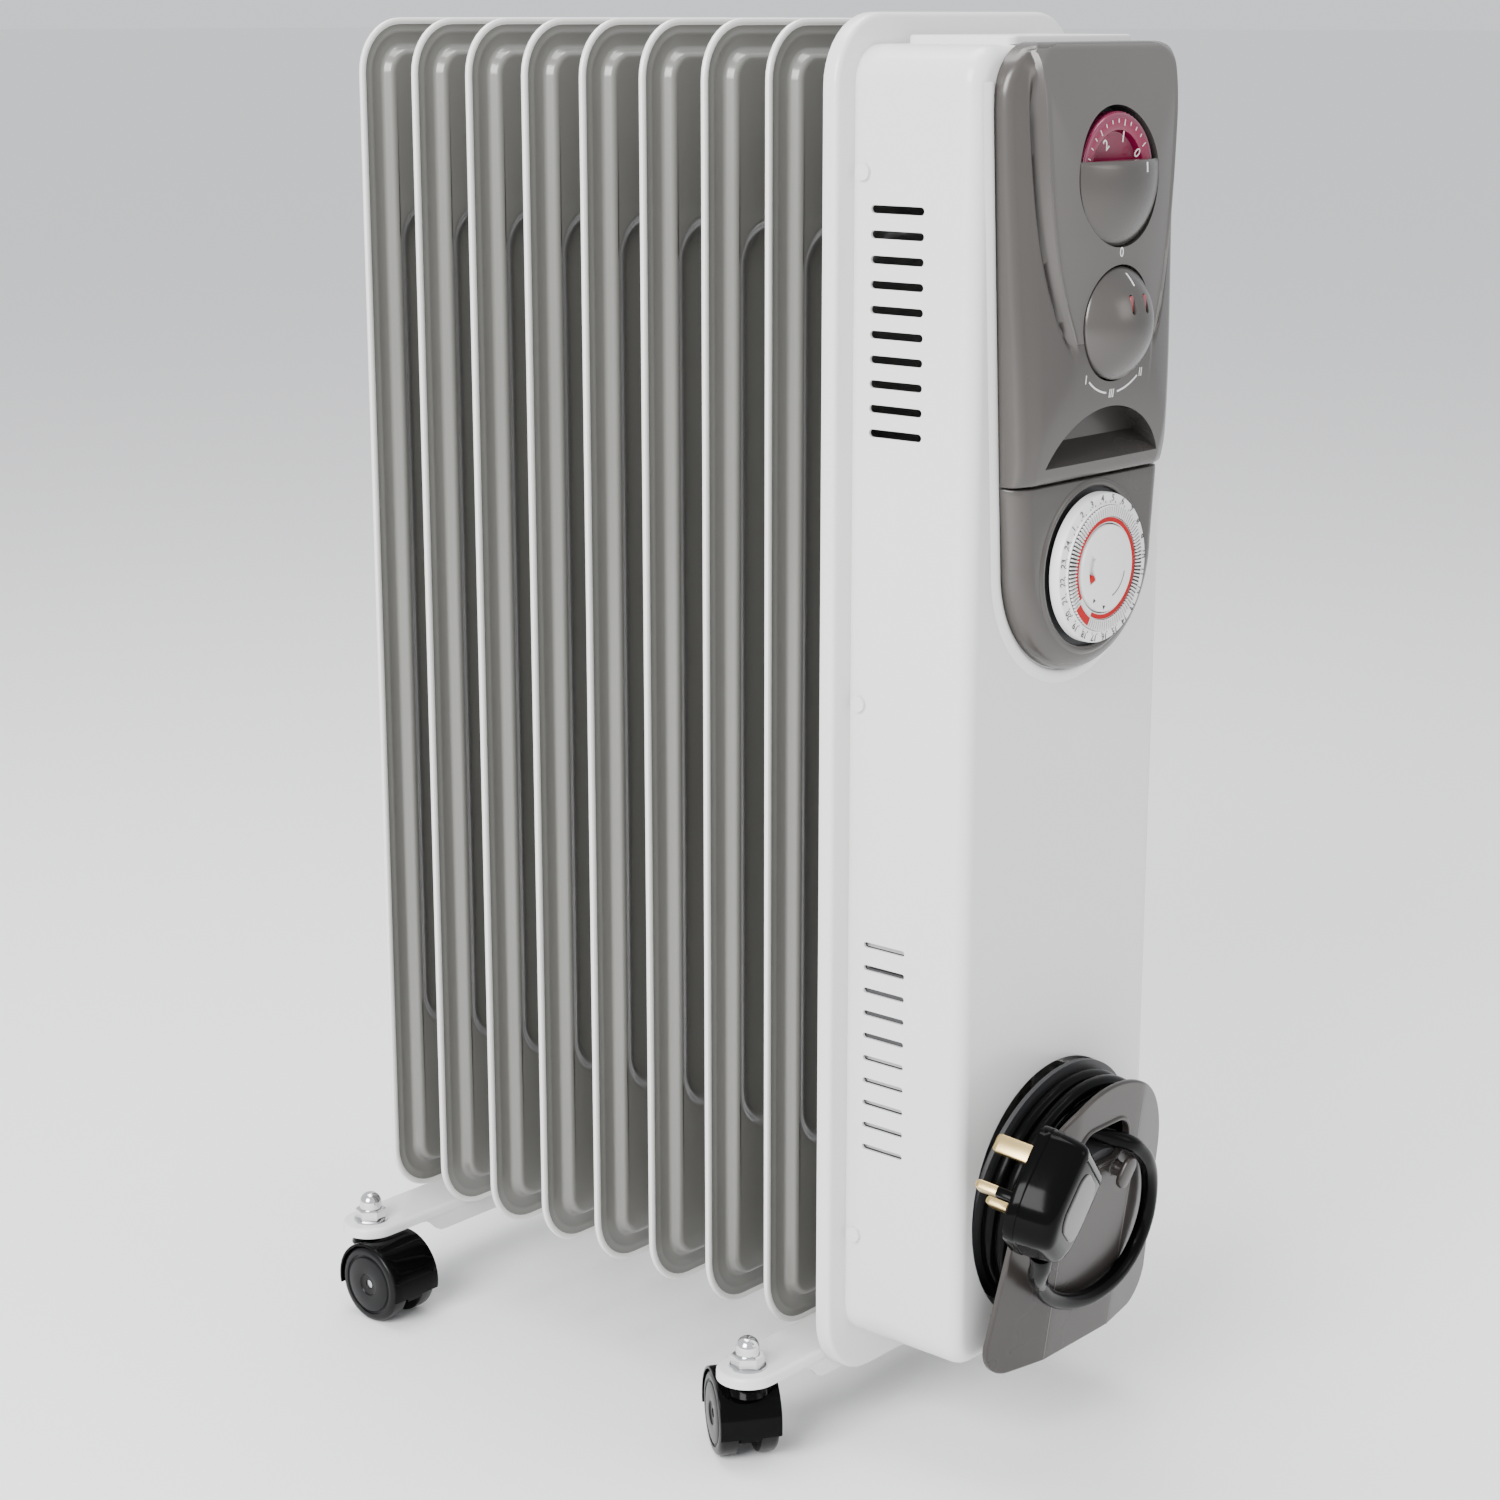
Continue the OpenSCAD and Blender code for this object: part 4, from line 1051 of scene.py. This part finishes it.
UC = 58.64
slots = [(51.2, -14.2), (51.2, -6.7), (43.7, -6.7), (43.7, -14.2), (36.2, -11.5)]
A0, A1, TURNS = 250.0, 125.5, 4
total = A0 - A1 + 360 * TURNS
coil = []
steps_n = int(total / 5)
for k in range(steps_n + 1):
    th = total * k / steps_n
    turn = th / 360.0
    i = min(int(turn), 4)
    f = turn - i
    r, o = slots[i]
    if i < 4 and f > 0.78:
        q = sm((f - 0.78) / 0.22)
        r2, o2 = slots[i + 1]
        r, o = r + (r2 - r) * q, o + (o2 - o) * q
    a = math.radians(A0 - th)
    coil.append((r * math.cos(a), UC + r * math.sin(a), o))
loop = [(-11.5, 91.5, -9.5), (-4, 91.5, -4.5), (3, 89.5, 3), (9.5, 87, 8.8), (13.5, 85, 10.5), (18, 82, 10.9),
        (26, 75, 11), (34, 65, 9.6), (39, 53, 8.6), (39.5, 41, 8.6), (35, 30, 9.2), (26.5, 21.5, 10),
        (15, 16.5, 10.8), (0, 14.5, 10.9), (-14, 16.5, 10.9), (-28, 22, 10.9), (-40, 30, 11.8), (-50, 40, 14),
        (-57.5, 48, 17.5), (-62, 56, 21), (-65.5, 63, 22.6)]
lead = [(36, -55.5, 17.9), (26, -55.5, 17.9), (16, -56.4, 17.6), (4, -59.4, 17.6), (-6, -61.3, 19.0)]
path_mm = [Vector(p) for p in lead]
path_mm += [Vector(on_plate(*p)) for p in coil[1:]]
path_mm += [Vector(on_plate(*p)) for p in loop]
line = [P(*v) for v in catmull(path_mm, 2.6)]
cu = bpy.data.curves.new("mains_cord", "CURVE")
cu.dimensions = "3D"
cu.bevel_depth, cu.bevel_resolution, cu.use_fill_caps = 0.00375, 7, True
sp = cu.splines.new("POLY")
sp.points.add(len(line) - 1)
for q, v in zip(sp.points, line):
    q.co = (*v, 1)
    q.radius = 1.0
cu.materials.append(M["cord"])
cord = bpy.data.objects.new("mains_cord", cu)
bpy.context.scene.collection.objects.link(cord)
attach(cord, "heater")
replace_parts(cord, "cord_lead", "cord_coil")

# ---------------------------------------------------------------- plug

PM = Matrix.Rotation(math.radians(41), 3, "Y") @ Matrix.Rotation(math.radians(16), 3, "Z")
PAT = Vector((-65.5, -99.5, 104.2))


def on_plug(x, y, z):
    return tuple(PAT + PM @ Vector((x, y, z)))


def plug_ring(i, y, waist=0.0):
    pts = []
    for cx, cz, rx, rz, a0 in ((15.5, 16.5, 7.5, 7.5, 0), (-15.5, 16.5, 7.5, 7.5, 90), (-7.5, -3, 15.5, 23, 180),
                               (7.5, -3, 15.5, 23, 270)):
        for k in range(15):
            a = math.radians(a0 + 90 * k / 14)
            pts.append((cx + (rx - i) * math.cos(a), cz + (rz - i) * math.sin(a)))
    return [on_plug(x * (1 - waist), y, z) for x, z in pts]


pr = [(0.8, 0), (0.2, -0.3), (0, -0.9), (0, -4.6), (0.15, -5.0), (0.45, -5.1), (0.5, -5.5), (0.5, -8.0),
      (1.0, -13.0, 0.01), (1.7, -17.0, 0.01), (2.2, -18.8, 0.01), (3.1, -20.3, 0.01), (4.6, -21.3), (6.6, -21.8),
      (8.6, -22.0)]
body = loft("plug_shell", [plug_ring(*q) for q in pr], "black", sharp=32)
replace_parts(body, "plug_body")
lb = []
for i, y in ((0, -21.9), (0, -22.5), (0.4, -22.75), (0.9, -22.8)):
    lb.append([on_plug(x, y, z) for x, z in rrect(12.6 - i, -14 + i, 13.4 - i, 8 - i, 8)])
label = loft("plug_face", lb, "label")
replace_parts(label, "plug_label")
pins = []
for cx, cz, hx, hz, ln in ((0, 13.2, 2.0, 4.0, 22.7), (-11.1, -9, 3.2, 2.0, 19), (11.1, -9, 3.2, 2.0, 19)):
    g = []
    for e, y in ((0, -0.3), (0, ln - 2.2), (0.25, ln - 1.0), (0.8, ln - 0.25), (1.2, ln)):
        g.append([on_plug(cx + x, y, cz + z) for x, z in rrect(hx - e, -hz + e, hz - e, 0.5, 3)])
    pins.append(loft("p", g, "brass", body=None, sharp=30))
pin = join(pins, "plug_blades")
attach(pin, "heater")
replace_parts(pin, "plug_pins")
sl = []
for cx in (-11.1, 11.1):
    g = [[on_plug(cx + x, y, -9 + z) for x, z in rrect(3.25 + e, -2.05 - e, 2.05 + e, 0.6, 3)]
         for e, y in ((0.0, -0.2), (0.0, 8.8), (-0.05, 9.0))]
    sl.append(loft("s", g, "black", body=None))
sleeves = join(sl, "plug_sleeves")
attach(sleeves, "heater")

# tapered sleeve where the cord enters the plug, and one where it leaves the housing


def sleeve(name, pts, radii, mat="black", seg=40):
    """Skins circles of the given radii round a path in row metres."""
    rings = []
    up = Vector((0.1, 1, 0.05)).normalized()
    for i, p in enumerate(pts):
        t = (pts[min(i + 1, len(pts) - 1)] - pts[max(i - 1, 0)]).normalized()
        u = t.cross(up).normalized()
        v = t.cross(u)
        rings.append([p + (u * c + v * s) * radii[i] / 1000 for c, s in circle(0, 0, 1, seg)])
    n = seg
    verts = [v for r in rings for v in r]
    faces = []
    for i in range(len(rings) - 1):
        for k in range(n):
            k2 = (k + 1) % n
            faces.append((i * n + k, i * n + k2, (i + 1) * n + k2, (i + 1) * n + k))
    faces += [tuple(range(n - 1, -1, -1)), tuple((len(rings) - 1) * n + k for k in range(n))]
    return obj(name, verts, faces, mat, raw=True, sharp=40)


tail, acc = [line[-1]], 0.0
for i in range(len(line) - 2, -1, -1):
    acc += (line[i] - line[i + 1]).length
    if acc > 0.030:
        break
    tail.append(line[i])
m = len(tail)
radii = [4.9 - 0.95 * (k / (m - 1)) + (0.22 if k % 2 and 0 < k < m - 1 else 0) for k in range(m)]
sleeve("plug_neck", tail, radii)
gl = [P(x, -55.5, 17.9) for x in [26 + 22 * k / 10 for k in range(11)] + [48.01, 52]]
radii = [4.4] + [4.8 + 1.3 * k / 10 + (0.2 if k % 2 else 0) for k in range(1, 11)] + [7.0] * 2
gland = sleeve("housing_gland", gl, radii)
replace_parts(gland, "cord_gland")

# ---------------------------------------------------------------- finishes of the pieces kept from the model

KEPT = {
    "fin": ("collars_upper", "collars_lower"),
    "white": ("housing_screws",),
    "zinc": ("element_flange", "heating_element", "u_bolts", "wing_nuts", "caster_stems",
             "caster_1_axle", "caster_2_axle", "caster_3_axle", "caster_4_axle"),
    "dark": ("thermostat_switch", "selector_switch", "timer_body", "tip_switch", "cord_spool"),
    "ivory": ("thermal_cutout", "terminal_block"),
}
for mat, names in KEPT.items():
    for nm in names:
        me = frame["nodes"][nm].data
        me.materials.clear()
        me.materials.append(M[mat])

# ---------------------------------------------------------------- stage, light, camera

bpy.ops.mesh.primitive_plane_add(size=200, location=(0, 0, 0))
floor = bpy.context.object
floor.name = "floor"
fm = principled("floor_white", (0.93, 0.93, 0.93), 0.7, spec=0.2)
floor.data.materials.append(fm)

world = bpy.data.worlds.new("studio")
bpy.context.scene.world = world
world.use_nodes = True
world.node_tree.nodes["Background"].inputs["Color"].default_value = (0.95, 0.97, 1.0, 1)
world.node_tree.nodes["Background"].inputs["Strength"].default_value = 1.0


def area(name, loc, target, size, power, color=(1, 1, 1)):
    d = bpy.data.lights.new(name, "AREA")
    d.shape, d.size, d.energy, d.color = "SQUARE", size, power, color
    o = bpy.data.objects.new(name, d)
    bpy.context.scene.collection.objects.link(o)
    o.location = loc
    o.rotation_mode = "QUATERNION"
    o.rotation_quaternion = (Vector(target) - Vector(loc)).to_track_quat("-Z", "Y")
    return o


mid = (0, 0, 0.32)
area("key", (-2.1, -0.35, 1.5), mid, 1.3, 95)
area("front", (0.7, -2.3, 1.2), mid, 1.0, 9, (1.0, 0.96, 0.91))
area("top", (0.1, 0.3, 2.3), mid, 1.4, 46)

cam_d = bpy.data.cameras.new("camera")
cam = bpy.data.objects.new("camera", cam_d)
bpy.context.scene.collection.objects.link(cam)
bpy.context.scene.camera = cam
cam_d.lens, cam_d.sensor_width = 2936.3 / 1500 * 36, 36
cam_d.clip_start, cam_d.clip_end = 0.05, 200
cam.location = P(-1007.8, -766.5, 582.0)
az, pit = math.radians(48.85), math.radians(14.09)
look = Vector((math.cos(pit) * math.sin(az), math.cos(pit) * math.cos(az), -math.sin(pit)))
cam.rotation_mode = "QUATERNION"
cam.rotation_quaternion = look.to_track_quat("-Z", "Y")
